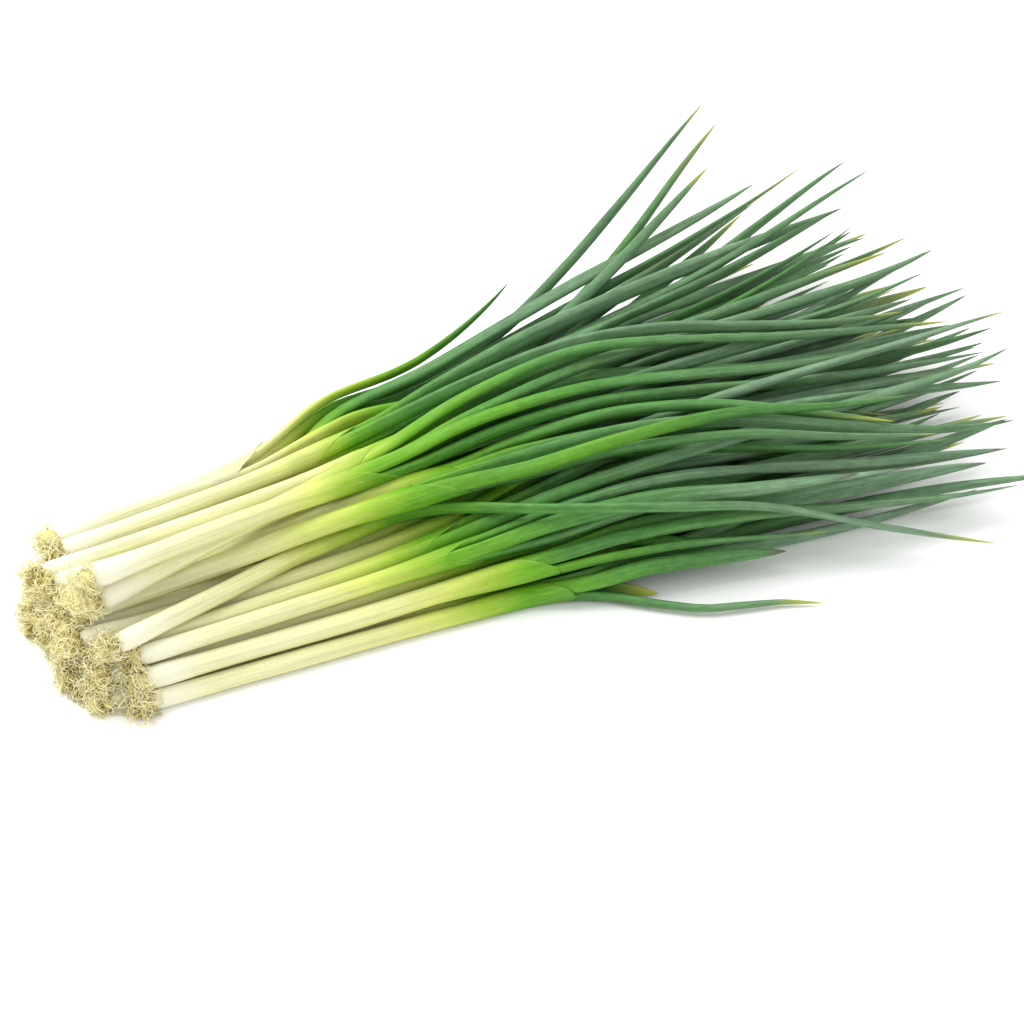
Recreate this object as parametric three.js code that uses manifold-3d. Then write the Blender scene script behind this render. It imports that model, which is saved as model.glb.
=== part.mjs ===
// A bunch of spring onions laid on a table. Each onion is one closed body: its white shank,
// the hollow leaves that part at its neck, drawn solid, and the tuft of roots under its base.
// Millimetres. +X runs from the roots to the leaf tips, +Y across the bunch, +Z up; z = 0 is the table.
// While the bunch is laid, x = 0 and y = 0 are at the base of the first onion of the lowest row.

import * as THREE from "three";
import Module from "manifold-3d";

const wasm = await Module();
wasm.setup();

// ---- the heap at the root end ----

const SEED = 7;
// Rows from the table up: onions in the row, y of its first, their pitch, and how far its bases stick out.
const ROWS = [
  { count: 10, first: 0, pitch: 9.9, stagger: -24 },
  { count: 9, first: 4.8, pitch: 10.1, stagger: -19 },
  { count: 8, first: 10, pitch: 10.2, stagger: -17 },
  { count: 6, first: 40, pitch: 10, stagger: -17 },
];
const ROW_HEIGHT = 8.4;
const FIRST_ROW_Z = 4.7;
// Onions laid slantwise over the rows: base x, y, z, shank radius, degrees it turns to +Y and climbs, neck.
const CROSSING = [
  { x: -9, y: 26, z: 32, radius: 5.1, yaw: 9, climb: 1.5, neck: 120, across: 0.42 },
  { x: -9, y: 14, z: 27, radius: 4.3, yaw: 15, climb: 0, neck: 114, across: 0.34 },
  { x: -10, y: 33, z: 33, radius: 4.6, yaw: 6, climb: 1.5, neck: 120, across: 0.36 },
];
const SHANK_RADIUS = [4.2, 5];
const ROW_YAW = [-3, 5]; // degrees that a shank turns to +Y, at the front and the back of a row
// Where the leaves part, from the first onion's base, with its change for the back of the top row,
// its change for the front of the lowest row, and how far one onion's neck may be from the next one's.
const NECK = { x: 148, backTop: -34, frontBottom: 20, uneven: 12 };
// The last onion of a row has a short shank, and its leaves bulge out from the back: in the lowest row, and
// the change with each row up.
const BULGE = { neck: 60, neckStep: 8, out: 26, outStep: -2, length: 150 };
const STAGGER_ARC = [0.3, 0.72]; // the bases of a row stick out along this part of half a turn of a sine
const EVEN_ROWS = 3; // rows, from the table up, whose front onion has its base at x 0
// How far an onion may be from its even place in the row.
const UNEVEN = { x: 6, y: 1, z: 0.5, yaw: 1.5 };

// ---- the leaves ----

const FOUR_LEAVED = 0.4; // share of onions with four leaves; the others have three
const LEAF_RADIUS = [3.2, 4.4];
const FAN = { front: -48, back: 196, most: 215, uneven: 20 }; // y of the tips, for the front and back onions
const TIP_SPREAD = [14, 26]; // y between the tips of neighbouring leaves of one onion
const TIP_SHORT = 110; // the most that a leaf stops short of the bunch's outline
const SHORT_SHARE = [0.1, 1]; // and what share of a drawn shortness is kept
// Height of a tip: for the lowest row, its change with each row, between sibling leaves, and the least.
const TIP_Z = { first: 5, perRow: 10, perLeaf: 6, uneven: 8, least: 3.5 };
// What a tip on the outline costs a leaf, beside its distance in y: per millimetre of height, and for
// each sibling that has such a tip already.
const TIP_COST = { height: 1.5, sibling: 14 };
const TURN = [50, 180]; // length over which a leaf turns from its shank's line to its own
const SWAY = 6; // the most that a leaf bows sideways
const ARCH = 8; // and upwards
const SWAYS = 1.35; // bows along a leaf
const TAPER = { late: 5, blunt: 0.72 }; // a leaf keeps its width for most of its length, then narrows
const LEAF_BASE = 0.48; // radius of a leaf inside the neck, as a share of its shank's
const PARTING = 100; // length over which the leaves of one onion come clear and reach their full width

// How far in x the longest leaf reaches, by y of its tip.
const REACH = [
  [-95, 300], [-84, 395], [-60, 432], [-38, 445], [0, 465], [33, 485], [62, 486],
  [110, 480], [168, 488], [195, 465], [230, 430], [260, 435],
];
const KINK = { x: 255, aside: -8, length: 60 };
// Leaves set one by one: onion, tip, the length of its turn, its arch, and for some their sway and radius.
// A kink puts the line aside at its x, and less and less as far as its length to each side.
const LONG_LEAVES = [
  { onion: 34, tip: [401, -84, 12], turn: 50, arch: 20, sway: -26, radius: 3 },
  { onion: 0, tip: [309, -78, 4], turn: 45, arch: 0, sway: 0, radius: 2.2, kink: KINK },
  { onion: 31, tip: [428, 40, 52], turn: 90, arch: 14 },
  { onion: 32, tip: [439, 255, 75], turn: 230, arch: -4 },
  { onion: 32, tip: [430, 230, 80], turn: 300, arch: -8 },
  { onion: 31, tip: [412, 209, 60], turn: 190, arch: 0 },
  { onion: 32, tip: [268, 158, 48], turn: 180, arch: -6 },
  { onion: 33, tip: [455, 95, 60], turn: 70, arch: 6 },
];
// Tips on the outline of the bunch, each taken by the leaf that is headed nearest to it.
const OUTER_TIPS = [
  [435, 196, 50], [470, 194, 55], [493, 189, 60], [492, 168, 60], [459, 159, 50], [453, 140, 45],
  [462, 135, 48], [480, 110, 50], [484, 99, 45], [486, 90, 45], [485, 62, 45], [488, 61, 40],
  [464, 59, 35], [486, 33, 45], [473, 22, 40], [468, 2, 40], [425, -2, 35], [459, -9, 35],
  [450, -24, 30], [445, -37, 30], [442, -41, 20], [431, -59, 15], [452, -68, 18],
  [331, -38, 10], [306, -43, 6], [272, -28, 6], [242, -30, 5],
];

// ---- how they lie on each other ----

const STATION_STEP = 50; // a leaf's line is straight between stations this far apart in x
const FIRST_STATION = -100;
const STATIONS = 14;
const CHECKS_PER_STEP = 8; // places between two stations where the lines are kept clear of each other
const GAP = 1.0; // kept between two lines, over the room they need, for what facets and bends take up
const REST = 0.79; // lowest height of a line, as a share of its radius: what touches the table is flat there
const ROUNDS = 240;
const PULLED_ROUNDS = 120; // rounds in which the lines are still drawn to the shape they grew in
const LAST_ROUNDS = 25; // rounds in which contact alone moves them, station by station
const EVENING = 0.45; // share by which a line's moves are evened out along it in the first round
const DRAWING = 0.02; // share by which it is drawn back to the shape it grew in
const SOFT_CONTACT = 0.4; // contact shallower than this weighs less
const CONTACT_MOVE = 1.5; // how far contact moves the lines, as a share of what would part one pair
const LEAST_LOAD = 0.6;
const SPREAD_MOVE = 1.3; // makes up for spreading a move over the stations beside it
const NEAR = 1.8; // pairs with a squared distance over this many times the squared need are left alone

// ---- roots and facets ----

const ROOT_LENGTH = 18;
const ROOT_SHARE = [0.55, 0.98]; // length of a root, as a share of that
const ROOTS = 4;
const ROOT_RADIUS = 0.75;
// Sections of a root: distance along it, how far out it is as a share of its shank's radius, and its turn
// round the shank. It starts inside the bulb and is bent half-way.
const ROOT_BASE = { inside: 1.5, out: 0.35 };
const ROOT_BEND = { along: 0.5, out: [0.7, 1], turn: 0.15, thin: 0.8 };
const ROOT_END = { out: [0.6, 1], turn: [-0.2, 0.5] };
const ROOT_UNEVEN = 0.15; // how far a root may be from its even place round the base, as a share of a step
const ROOT_SIDES = 3;
const SHANK_SIDES = 6;
const LEAF_SIDES = 5;
const STRAIGHT = 0.2; // a section is left out where its leaf bends by less than this
// Sections of the rounded bulb at a shank's base: distance past the base, and share of its radius.
const BULB = [[-0.8, 0.6], [3, 0.98], [20, 0.9]];
const SHANK_SHARE = 0.93; // radius between the bulb and the neck, as a share of the onion's
const NECK_SECTIONS = [[-3, 0.98], [4, 0.85]]; // distance past the neck, and share of the onion's radius
const SHANK_CLEAR = { base: 34, neck: 30 }; // no station of the shank lies nearer to its ends than this
const LEAF_ROOT = { before: 2, share: 0.6 }; // a leaf starts inside the shank, before the neck, and thinner
const PARTING_SECTIONS = [0.3, 0.65]; // while it widens it has sections at these shares of the parting
const SECTION_CLEAR = 12; // no station's section lies nearer to those, or to the neck, than this
const TIP_CLEAR = 9; // or nearer to the tip than this
const SLAB = { side: 1200, depth: 50, x: 200 }; // wider than the bunch, with its middle at this x

// ---- colour ----

const LEAF_GREEN = 0x8fae5f;
const COLOUR_DRIFT = { hue: 0.02, light: 0.05 }; // from one onion to the next

const radians = THREE.MathUtils.degToRad;
const lerp = THREE.MathUtils.lerp;
const smooth = (t) => THREE.MathUtils.smoothstep(t, 0, 1);
const clamp = THREE.MathUtils.clamp;

// Repeatable random draws.
function drawFrom(seed) {
  let state = seed;
  return (low = 0, high = 1) => {
    state = (Math.imul(state, 1664525) + 1013904223) >>> 0;
    return low + ((high - low) * state) / 4294967296;
  };
}

function reachAt(y) {
  const inner = clamp(y, REACH[0][0], REACH[REACH.length - 1][0]);
  const next = REACH.findIndex(([place], i) => i > 0 && inner <= place);
  const [y0, x0] = REACH[next - 1];
  const [y1, x1] = REACH[next];
  return lerp(x0, x1, (inner - y0) / (y1 - y0));
}

// Every onion: its base, shank radius, the slopes of its shank, and where its neck is.
function layOnions(draw) {
  const onions = [];
  ROWS.forEach(({ count, first, pitch, stagger }, row) => {
    for (let slot = 0; slot < count; slot++) {
      const across = slot / (count - 1);
      const up = row / (ROWS.length - 1);
      const onion = { row, across, radius: draw(...SHANK_RADIUS), climb: 0, bulge: 0 };
      onion.y = first + pitch * slot + draw(-UNEVEN.y, UNEVEN.y);
      onion.z = FIRST_ROW_Z + ROW_HEIGHT * row + draw(-UNEVEN.z, UNEVEN.z);
      const outward = stagger * Math.sin(Math.PI * lerp(...STAGGER_ARC, across)) + draw(-UNEVEN.x, UNEVEN.x);
      onion.x = slot === 0 && row < EVEN_ROWS ? 0 : outward;
      onion.slope = Math.tan(radians(lerp(...ROW_YAW, across) + draw(-UNEVEN.yaw, UNEVEN.yaw)));
      const shift = NECK.backTop * across * up + NECK.frontBottom * (1 - up) * (1 - across);
      onion.neck = NECK.x + shift + draw(-NECK.uneven, NECK.uneven);
      if (slot === count - 1) {
        onion.neck = BULGE.neck + BULGE.neckStep * row;
        onion.bulge = BULGE.out + BULGE.outStep * row;
      }
      onions.push(onion);
    }
  });
  for (const { yaw, climb, ...placed } of CROSSING) {
    const row = ROWS.length - 1;
    const slopes = { slope: Math.tan(radians(yaw)), climb: Math.tan(radians(climb)) };
    onions.push({ ...placed, ...slopes, row, bulge: 0 });
  }
  return onions;
}

// Every leaf: its onion, its tip, its radius and how it bends. The onion's first leaf leads the shank.
function growLeaves(onions, draw) {
  const leaves = [];
  for (const onion of onions) {
    const count = draw() < FOUR_LEAVED ? 4 : 3;
    const heading = lerp(FAN.front, FAN.back, onion.across) + draw(-FAN.uneven, FAN.uneven);
    const side = draw() < 0.5 ? 1 : -1;
    onion.leader = leaves.length;
    for (let i = 0; i < count; i++) {
      const rank = i - (count - 1) / 2;
      const y = clamp(heading + side * rank * draw(...TIP_SPREAD), FAN.front, FAN.most);
      const x = reachAt(y) - draw(0, TIP_SHORT) * draw(...SHORT_SHARE);
      const z = TIP_Z.first + TIP_Z.perRow * onion.row + TIP_Z.perLeaf * rank + draw(0, TIP_Z.uneven);
      const tip = [x, y, Math.max(TIP_Z.least, z)];
      const leaf = { onion, tip, radius: draw(...LEAF_RADIUS), turn: draw(...TURN) };
      leaf.sway = draw(-SWAY, SWAY);
      leaf.arch = draw(0, ARCH);
      leaves.push(leaf);
    }
  }
  const nearest = (free, cost) => free.reduce((best, leaf) => (cost(leaf) < cost(best) ? leaf : best));
  for (const { onion, tip, ...shape } of LONG_LEAVES) {
    const free = leaves.filter((leaf) => !leaf.placed && leaf.onion === onions[onion]);
    const leaf = nearest(free, (one) => Math.abs(one.tip[1] - tip[1]));
    Object.assign(leaf, { tip, ...shape, placed: true });
  }
  for (const tip of OUTER_TIPS) {
    const siblings = (leaf) => leaves.filter((one) => one.placed && one.onion === leaf.onion).length;
    const height = (leaf) => TIP_COST.height * Math.abs(leaf.tip[2] - tip[2]);
    const cost = (leaf) => Math.abs(leaf.tip[1] - tip[1]) + height(leaf) + TIP_COST.sibling * siblings(leaf);
    const leaf = nearest(leaves.filter((one) => !one.placed), cost);
    Object.assign(leaf, { tip, placed: true });
  }
  return leaves;
}

// How far a leaf has parted from its neck at x, from 0 to 1.
const partedAt = (leaf, x) => smooth((x - leaf.onion.neck) / PARTING);

// How a leaf narrows to its tip, from 1 to 0.
function taperAt({ onion, tip }, x) {
  return (1 - clamp((x - onion.neck) / (tip[0] - onion.neck), 0, 1) ** TAPER.late) ** TAPER.blunt;
}

// The radius that an onion takes up round one leaf's line: its shank as far as the neck, then the leaf.
function roomAt(leaf, x) {
  return lerp(leaf.onion.radius, leaf.radius, partedAt(leaf, x)) * taperAt(leaf, x);
}

// From 0 up to 1 and back as t goes from 0 to 1.
const wave = (t) => (1 - Math.cos(2 * Math.PI * clamp(t, 0, 1))) / 2;

// The line a leaf would grow in, alone: [y, z] at x. Past its neck it turns from the shank's line to its own.
function grownAt({ onion, tip, turn, sway, arch, kink }, x) {
  const swing = (place) => {
    const turns = Math.max(0, (place - onion.neck) / turn);
    const part = Math.min(turns, 1);
    return turn * (part ** 3 - part ** 4 / 2 + Math.max(turns - 1, 0));
  };
  const along = (x - onion.neck) / (tip[0] - onion.neck);
  const toTip = tip[0] - onion.x;
  const aside = (tip[1] - onion.y - onion.slope * toTip) / swing(tip[0]);
  const rise = (tip[2] - onion.z - onion.climb * toTip) / swing(tip[0]);
  const bowed = sway * wave(along * SWAYS) + onion.bulge * wave((x - onion.neck) / BULGE.length);
  const kinked = kink ? kink.aside * Math.max(0, 1 - Math.abs(x - kink.x) / kink.length) : 0;
  const y = onion.y + onion.slope * (x - onion.x) + aside * swing(x) + bowed + kinked;
  const z = onion.z + onion.climb * (x - onion.x) + rise * swing(x) + arch * wave(along);
  return [y, z];
}

const stationX = (k) => FIRST_STATION + STATION_STEP * k;

// At each check along x: the leaves there, the room each takes, and how far it has parted from its neck.
function checksAlong(leaves) {
  return Array.from({ length: (STATIONS - 1) * CHECKS_PER_STEP + 1 }, (_, c) => {
    const k = Math.min(Math.floor(c / CHECKS_PER_STEP), STATIONS - 2);
    const x = stationX(c / CHECKS_PER_STEP);
    const here = [];
    leaves.forEach((leaf, i) => {
      const { onion, tip } = leaf;
      if (x < onion.x - ROOT_LENGTH || x > tip[0]) return;
      if (x <= onion.neck && onion.leader !== i) return;
      here.push({ i, onion, room: roomAt(leaf, x), parted: partedAt(leaf, x) });
    });
    return { k, t: c / CHECKS_PER_STEP - k, here };
  });
}

// Lets the leaves and shanks push each other clear. Each leaf gets line: [y, z] at every station.
function settle(leaves) {
  const perStation = () => new Float64Array(leaves.length * STATIONS);
  const perAxis = () => [perStation(), perStation()];
  const [place, grown, slope, push] = [perAxis(), perAxis(), perAxis(), perAxis()];
  const load = perStation();
  const lowest = perStation();
  const checks = checksAlong(leaves);

  function eachStation(visit) {
    for (let i = 0; i < leaves.length; i++) {
      for (let k = 0; k < STATIONS; k++) visit(i * STATIONS + k, k, i);
    }
  }

  // The mean of the values at the stations before and after one, or at the only one beside an end.
  function beside(values, at, k) {
    const before = values[k > 0 ? at - 1 : at + 1];
    const after = values[k < STATIONS - 1 ? at + 1 : at - 1];
    return (before + after) / 2;
  }

  function drawBack(ease) {
    for (const axis of [0, 1]) {
      const moved = place[axis].map((value, at) => value - grown[axis][at]);
      eachStation((at, k) => {
        const evened = moved[at] + EVENING * ease * (beside(moved, at, k) - moved[at]);
        place[axis][at] = grown[axis][at] + evened * (1 - DRAWING * ease);
      });
    }
  }

  function measureSlopes() {
    for (const axis of [0, 1]) {
      eachStation((at, k) => {
        const inner = at - k + clamp(k, 1, STATIONS - 2);
        slope[axis][at] = (place[axis][inner + 1] - place[axis][inner - 1]) / (2 * STATION_STEP);
      });
    }
  }

  // The push that parts two lines at a check, where they come nearer than they need. Their distance is
  // measured square to their common direction, not in the plane of the check.
  function pressPair(one, two, k, t) {
    let need = one.room + two.room + GAP;
    if (one.onion === two.onion) need *= Math.min(one.parted, two.parted);
    const [ay, az, amy, amz] = one.found;
    const [by, bz, bmy, bmz] = two.found;
    const [dy, dz] = [ay - by, az - bz];
    const apart = dy * dy + dz * dz;
    if (apart > NEAR * need * need) return;
    const [my, mz] = [(amy + bmy) / 2, (amz + bmz) / 2];
    const lengthwise = (dy * my + dz * mz) ** 2 / (1 + my * my + mz * mz);
    const distance = Math.sqrt(Math.max(apart - lengthwise, 1e-4));
    const over = need - distance;
    if (over <= 0) return;
    const weight = Math.min(1, over / SOFT_CONTACT);
    const half = ((over / distance) * weight) / 2;
    for (const [{ i }, sign] of [[one, 1], [two, -1]]) {
      for (const [station, part] of [[k, 1 - t], [k + 1, t]]) {
        const at = i * STATIONS + station;
        push[0][at] += sign * dy * half * part;
        push[1][at] += sign * dz * half * part;
        load[at] += weight * part;
      }
    }
  }

  function pressAt({ k, t, here }) {
    for (const one of here) {
      const at = one.i * STATIONS + k;
      one.found = [...place, ...slope].map((values) => lerp(values[at], values[at + 1], t));
    }
    for (let a = 0; a < here.length; a++) {
      for (let b = a + 1; b < here.length; b++) pressPair(here[a], here[b], k, t);
    }
  }

  function moveClear(spreads) {
    for (const axis of [0, 1]) {
      const move = push[axis].map((value, at) => (CONTACT_MOVE * value) / Math.max(load[at], LEAST_LOAD));
      eachStation((at, k) => {
        const spread = (SPREAD_MOVE * (move[at] + beside(move, at, k))) / 2;
        place[axis][at] += spreads ? spread : move[at];
      });
    }
  }

  // Keeps the lines above the table, and the leaves of one onion on one line as far as its neck.
  function hold() {
    eachStation((at) => {
      place[1][at] = Math.max(place[1][at], lowest[at]);
    });
    eachStation((at, k, i) => {
      const { onion } = leaves[i];
      if (stationX(k) > onion.neck) return;
      for (const axis of [0, 1]) place[axis][at] = place[axis][onion.leader * STATIONS + k];
    });
  }

  eachStation((at, k, i) => {
    const [y, z] = grownAt(leaves[i], stationX(k));
    grown[0][at] = y;
    grown[1][at] = z;
    lowest[at] = REST * roomAt(leaves[i], stationX(k));
  });
  for (const axis of [0, 1]) place[axis].set(grown[axis]);
  for (let round = 0; round < ROUNDS; round++) {
    if (round < PULLED_ROUNDS) drawBack(1 - round / PULLED_ROUNDS);
    measureSlopes();
    for (const values of [...push, load]) values.fill(0);
    checks.forEach(pressAt);
    moveClear(round < ROUNDS - LAST_ROUNDS);
    hold();
  }
  leaves.forEach((leaf, i) => {
    const first = i * STATIONS;
    leaf.line = Array.from({ length: STATIONS }, (_, k) => [place[0][first + k], place[1][first + k]]);
  });
}

// A leaf's line at x: the point, and its slopes dy/dx and dz/dx there.
function lineAt(leaf, x) {
  const k = clamp(Math.floor((x - FIRST_STATION) / STATION_STEP), 0, STATIONS - 2);
  const t = (x - stationX(k)) / STATION_STEP;
  const [[y0, z0], [y1, z1]] = [leaf.line[k], leaf.line[k + 1]];
  const slopes = { slopeY: (y1 - y0) / STATION_STEP, slopeZ: (z1 - z0) / STATION_STEP };
  return { x, y: lerp(y0, y1, t), z: lerp(z0, z1, t), ...slopes };
}

// Whether a leaf's line leaves the chord from one x to another by less than a hair.
function isStraight(leaf, from, to) {
  const [first, last] = [lineAt(leaf, from), lineAt(leaf, to)];
  for (let x = from; x < to; x += STATION_STEP / 4) {
    const t = (x - from) / (to - from);
    const { y, z } = lineAt(leaf, x);
    if (Math.hypot(y - lerp(first.y, last.y, t), z - lerp(first.z, last.z, t)) > STRAIGHT) return false;
  }
  return true;
}

// Points of a round section in the plane of one x, drawn out so that it is round across its own line.
function section({ x, y, z, slopeY, slopeZ }, radius, sides) {
  const steep = Math.hypot(slopeY, slopeZ) || 1e-9;
  const stretch = (Math.sqrt(1 + steep * steep) - 1) / (steep * steep);
  return Array.from({ length: sides }, (_, i) => {
    const angle = ((i + 0.5) / sides) * 2 * Math.PI - Math.PI / 2;
    const across = radius * Math.cos(angle);
    const up = radius * Math.sin(angle);
    const drawn = (across * slopeY + up * slopeZ) * stretch;
    return [x, y + across + drawn * slopeY, z + up + drawn * slopeZ];
  });
}

// A closed skin over sections of equal count, with a flat first end and a flat or pointed last one.
function skin(sections, point = null) {
  const sides = sections[0].length;
  const vertices = sections.flat();
  const faces = [];
  for (let s = 0; s + 1 < sections.length; s++) {
    for (let i = 0; i < sides; i++) {
      const j = (i + 1) % sides;
      const [a, b, c, d] = [s * sides + i, s * sides + j, (s + 1) * sides + j, (s + 1) * sides + i];
      faces.push([a, b, c], [a, c, d]);
    }
  }
  const last = (sections.length - 1) * sides;
  for (let i = 1; i + 1 < sides; i++) faces.push([0, i + 1, i]);
  if (point) {
    vertices.push(point);
    const tip = vertices.length - 1;
    for (let i = 0; i < sides; i++) faces.push([last + i, last + ((i + 1) % sides), tip]);
  } else {
    for (let i = 1; i + 1 < sides; i++) faces.push([last, last + i, last + i + 1]);
  }
  return new wasm.Manifold(
    new wasm.Mesh({
      numProp: 3,
      vertProperties: new Float32Array(vertices.flat()),
      triVerts: new Uint32Array(faces.flat()),
    }),
  );
}

// The shank, from its rounded base to just past the neck, where it ends inside the leaves.
function shankSolid(onion, leader) {
  const profile = BULB.map(([past, share]) => [onion.x + past, share]);
  for (let k = 0; k < STATIONS; k++) {
    const x = stationX(k);
    if (x > onion.x + SHANK_CLEAR.base && x < onion.neck - SHANK_CLEAR.neck) profile.push([x, SHANK_SHARE]);
  }
  for (const [past, share] of NECK_SECTIONS) profile.push([onion.neck + past, share]);
  return skin(profile.map(([x, share]) => section(lineAt(leader, x), onion.radius * share, SHANK_SIDES)));
}

// Which way a leaf lies from the middle of its onion's leaves once they have parted.
function asideOf(leaf, own) {
  const parted = (one) => {
    const { y, z } = lineAt(one, one.onion.neck + PARTING);
    return new THREE.Vector2(y, z);
  };
  const middle = new THREE.Vector2();
  for (const one of own) middle.addScaledVector(parted(one), 1 / own.length);
  return parted(leaf).sub(middle).divideScalar(leaf.radius).clampLength(0, 1);
}

// One leaf: thin and beside its siblings inside the neck, then widening on its own line.
function leafSolid(leaf, leader, own) {
  const { onion, tip } = leaf;
  const aside = asideOf(leaf, own).multiplyScalar((1 - LEAF_BASE) * onion.radius);
  const ring = (x, share = 1) => {
    const line = lineAt(x < onion.neck ? leader : leaf, x);
    const parted = partedAt(leaf, x);
    line.y += aside.x * (1 - parted);
    line.z += aside.y * (1 - parted);
    const radius = share * lerp(LEAF_BASE * onion.radius, leaf.radius, parted) * taperAt(leaf, x);
    return section(line, radius, LEAF_SIDES);
  };
  const places = PARTING_SECTIONS.map((share) => onion.neck + share * PARTING);
  for (let k = 0; k < STATIONS; k++) {
    const x = stationX(k);
    const clear = places.every((place) => Math.abs(place - x) > SECTION_CLEAR);
    if (clear && x > onion.neck + SECTION_CLEAR && x < tip[0] - TIP_CLEAR) places.push(x);
  }
  places.sort((a, b) => a - b);
  const sections = [ring(onion.neck - LEAF_ROOT.before, LEAF_ROOT.share)];
  let kept = onion.neck;
  places.forEach((x, i) => {
    const next = places[i + 1] ?? tip[0];
    if (x > onion.neck + PARTING && next < tip[0] && isStraight(leaf, kept, next)) return;
    sections.push(ring(x));
    kept = x;
  });
  const end = lineAt(leaf, tip[0]);
  return skin(sections, [end.x, end.y, end.z]);
}

// One root: it leaves the base plate and bends away inside the width of its own shank.
function rootSolid(onion, leader, angle, draw) {
  const length = ROOT_LENGTH * draw(...ROOT_SHARE);
  const at = (along, out, turn) => {
    const line = lineAt(leader, onion.x + along);
    const room = (onion.radius - ROOT_RADIUS) * out;
    line.y += room * Math.cos(angle + turn);
    line.z += room * Math.sin(angle + turn);
    return line;
  };
  const base = section(at(ROOT_BASE.inside, ROOT_BASE.out, 0), ROOT_RADIUS, ROOT_SIDES);
  const middle = at(-ROOT_BEND.along * length, draw(...ROOT_BEND.out), ROOT_BEND.turn);
  const bend = section(middle, ROOT_BEND.thin * ROOT_RADIUS, ROOT_SIDES);
  const end = at(-length, draw(...ROOT_END.out), draw(...ROOT_END.turn));
  return skin([base.reverse(), bend.reverse()], [end.x, end.y, end.z]);
}

// A slab with its top in the table's face, to cut flat what rests there.
function slabUnderTable() {
  const box = new THREE.BoxGeometry(SLAB.side, SLAB.side, SLAB.depth).translate(SLAB.x, 0, -SLAB.depth / 2);
  const corners = [];
  const index = Array.from(box.index.array, (v) => {
    const point = [0, 1, 2].map((axis) => box.attributes.position.array[3 * v + axis]);
    const known = corners.findIndex((corner) => corner.every((value, axis) => value === point[axis]));
    return known < 0 ? corners.push(point) - 1 : known;
  });
  const vertProperties = new Float32Array(corners.flat());
  return new wasm.Manifold(new wasm.Mesh({ numProp: 3, vertProperties, triVerts: new Uint32Array(index) }));
}

function geometryOf(solid) {
  const { vertProperties, triVerts } = solid.getMesh();
  const geometry = new THREE.BufferGeometry();
  geometry.setAttribute("position", new THREE.BufferAttribute(Float32Array.from(vertProperties), 3));
  geometry.setIndex(new THREE.BufferAttribute(Uint32Array.from(triVerts), 1));
  geometry.computeVertexNormals();
  return geometry;
}

function buildBunch() {
  const draw = drawFrom(SEED);
  const onions = layOnions(draw);
  const leaves = growLeaves(onions, draw);
  settle(leaves);
  const slab = slabUnderTable();
  const bunch = new THREE.Group();
  onions.forEach((onion, number) => {
    const leader = leaves[onion.leader];
    const own = leaves.filter((leaf) => leaf.onion === onion);
    let solid = shankSolid(onion, leader);
    for (const leaf of own) solid = solid.add(leafSolid(leaf, leader, own));
    const phase = draw(0, 2);
    for (let i = 0; i < ROOTS; i++) {
      const angle = phase + (2 * Math.PI * (i + draw(-ROOT_UNEVEN, ROOT_UNEVEN))) / ROOTS;
      solid = solid.add(rootSolid(onion, leader, angle, draw));
    }
    if (solid.boundingBox().min[2] < 0) solid = solid.subtract(slab);
    const hue = draw(-COLOUR_DRIFT.hue, COLOUR_DRIFT.hue);
    const light = draw(-COLOUR_DRIFT.light, COLOUR_DRIFT.light);
    const colour = new THREE.Color(LEAF_GREEN).offsetHSL(hue, 0, light);
    const material = new THREE.MeshStandardMaterial({ color: colour, roughness: 0.45, metalness: 0 });
    const mesh = new THREE.Mesh(geometryOf(solid), material);
    mesh.name = "onion_" + String(number + 1).padStart(2, "0");
    bunch.add(mesh);
  });
  const box = new THREE.Box3().setFromObject(bunch);
  const middle = box.getCenter(new THREE.Vector3());
  for (const mesh of bunch.children) mesh.position.set(-middle.x, -middle.y, 0);
  return bunch;
}

export default buildBunch();
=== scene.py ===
"""The looks of a bunch of spring onions: shanks, sheaths, hollow leaves and matted roots.

The first half lays the bunch out by the same rules as the CAD model, in millimetres, then lets the finer
lines settle on each other once more. The second half builds each onion as one piece round those lines.
"""

import math

import bpy
import numpy as np
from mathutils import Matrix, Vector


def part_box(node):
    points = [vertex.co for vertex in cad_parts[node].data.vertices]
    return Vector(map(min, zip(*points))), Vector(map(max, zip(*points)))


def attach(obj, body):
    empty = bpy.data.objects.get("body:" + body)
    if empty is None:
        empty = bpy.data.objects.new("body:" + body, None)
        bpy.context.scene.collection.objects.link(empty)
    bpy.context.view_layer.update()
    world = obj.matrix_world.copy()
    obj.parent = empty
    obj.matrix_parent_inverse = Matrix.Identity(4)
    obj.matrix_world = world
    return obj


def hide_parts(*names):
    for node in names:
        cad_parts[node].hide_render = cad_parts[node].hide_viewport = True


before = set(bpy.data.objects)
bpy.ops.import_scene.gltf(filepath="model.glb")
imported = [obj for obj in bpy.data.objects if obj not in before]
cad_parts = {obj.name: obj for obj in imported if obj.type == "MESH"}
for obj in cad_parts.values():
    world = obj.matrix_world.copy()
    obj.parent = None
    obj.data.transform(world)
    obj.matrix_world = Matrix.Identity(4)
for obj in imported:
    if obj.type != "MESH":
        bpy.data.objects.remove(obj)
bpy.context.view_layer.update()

MM = 0.001

# ---- the bunch, in millimetres: the same driving values as in the CAD model ----

SEED = 7
# Rows from the table up: onions in the row, y of the first, their pitch, and how far the bases stick out.
ROWS = [(10, 0, 9.9, -24), (9, 4.8, 10.1, -19), (8, 10, 10.2, -17), (6, 40, 10, -17)]
EVEN_ROWS = 3  # rows, from the table up, whose front onion has its base at x 0
ROW_HEIGHT = 8.4
FIRST_ROW_Z = 4.7
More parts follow.
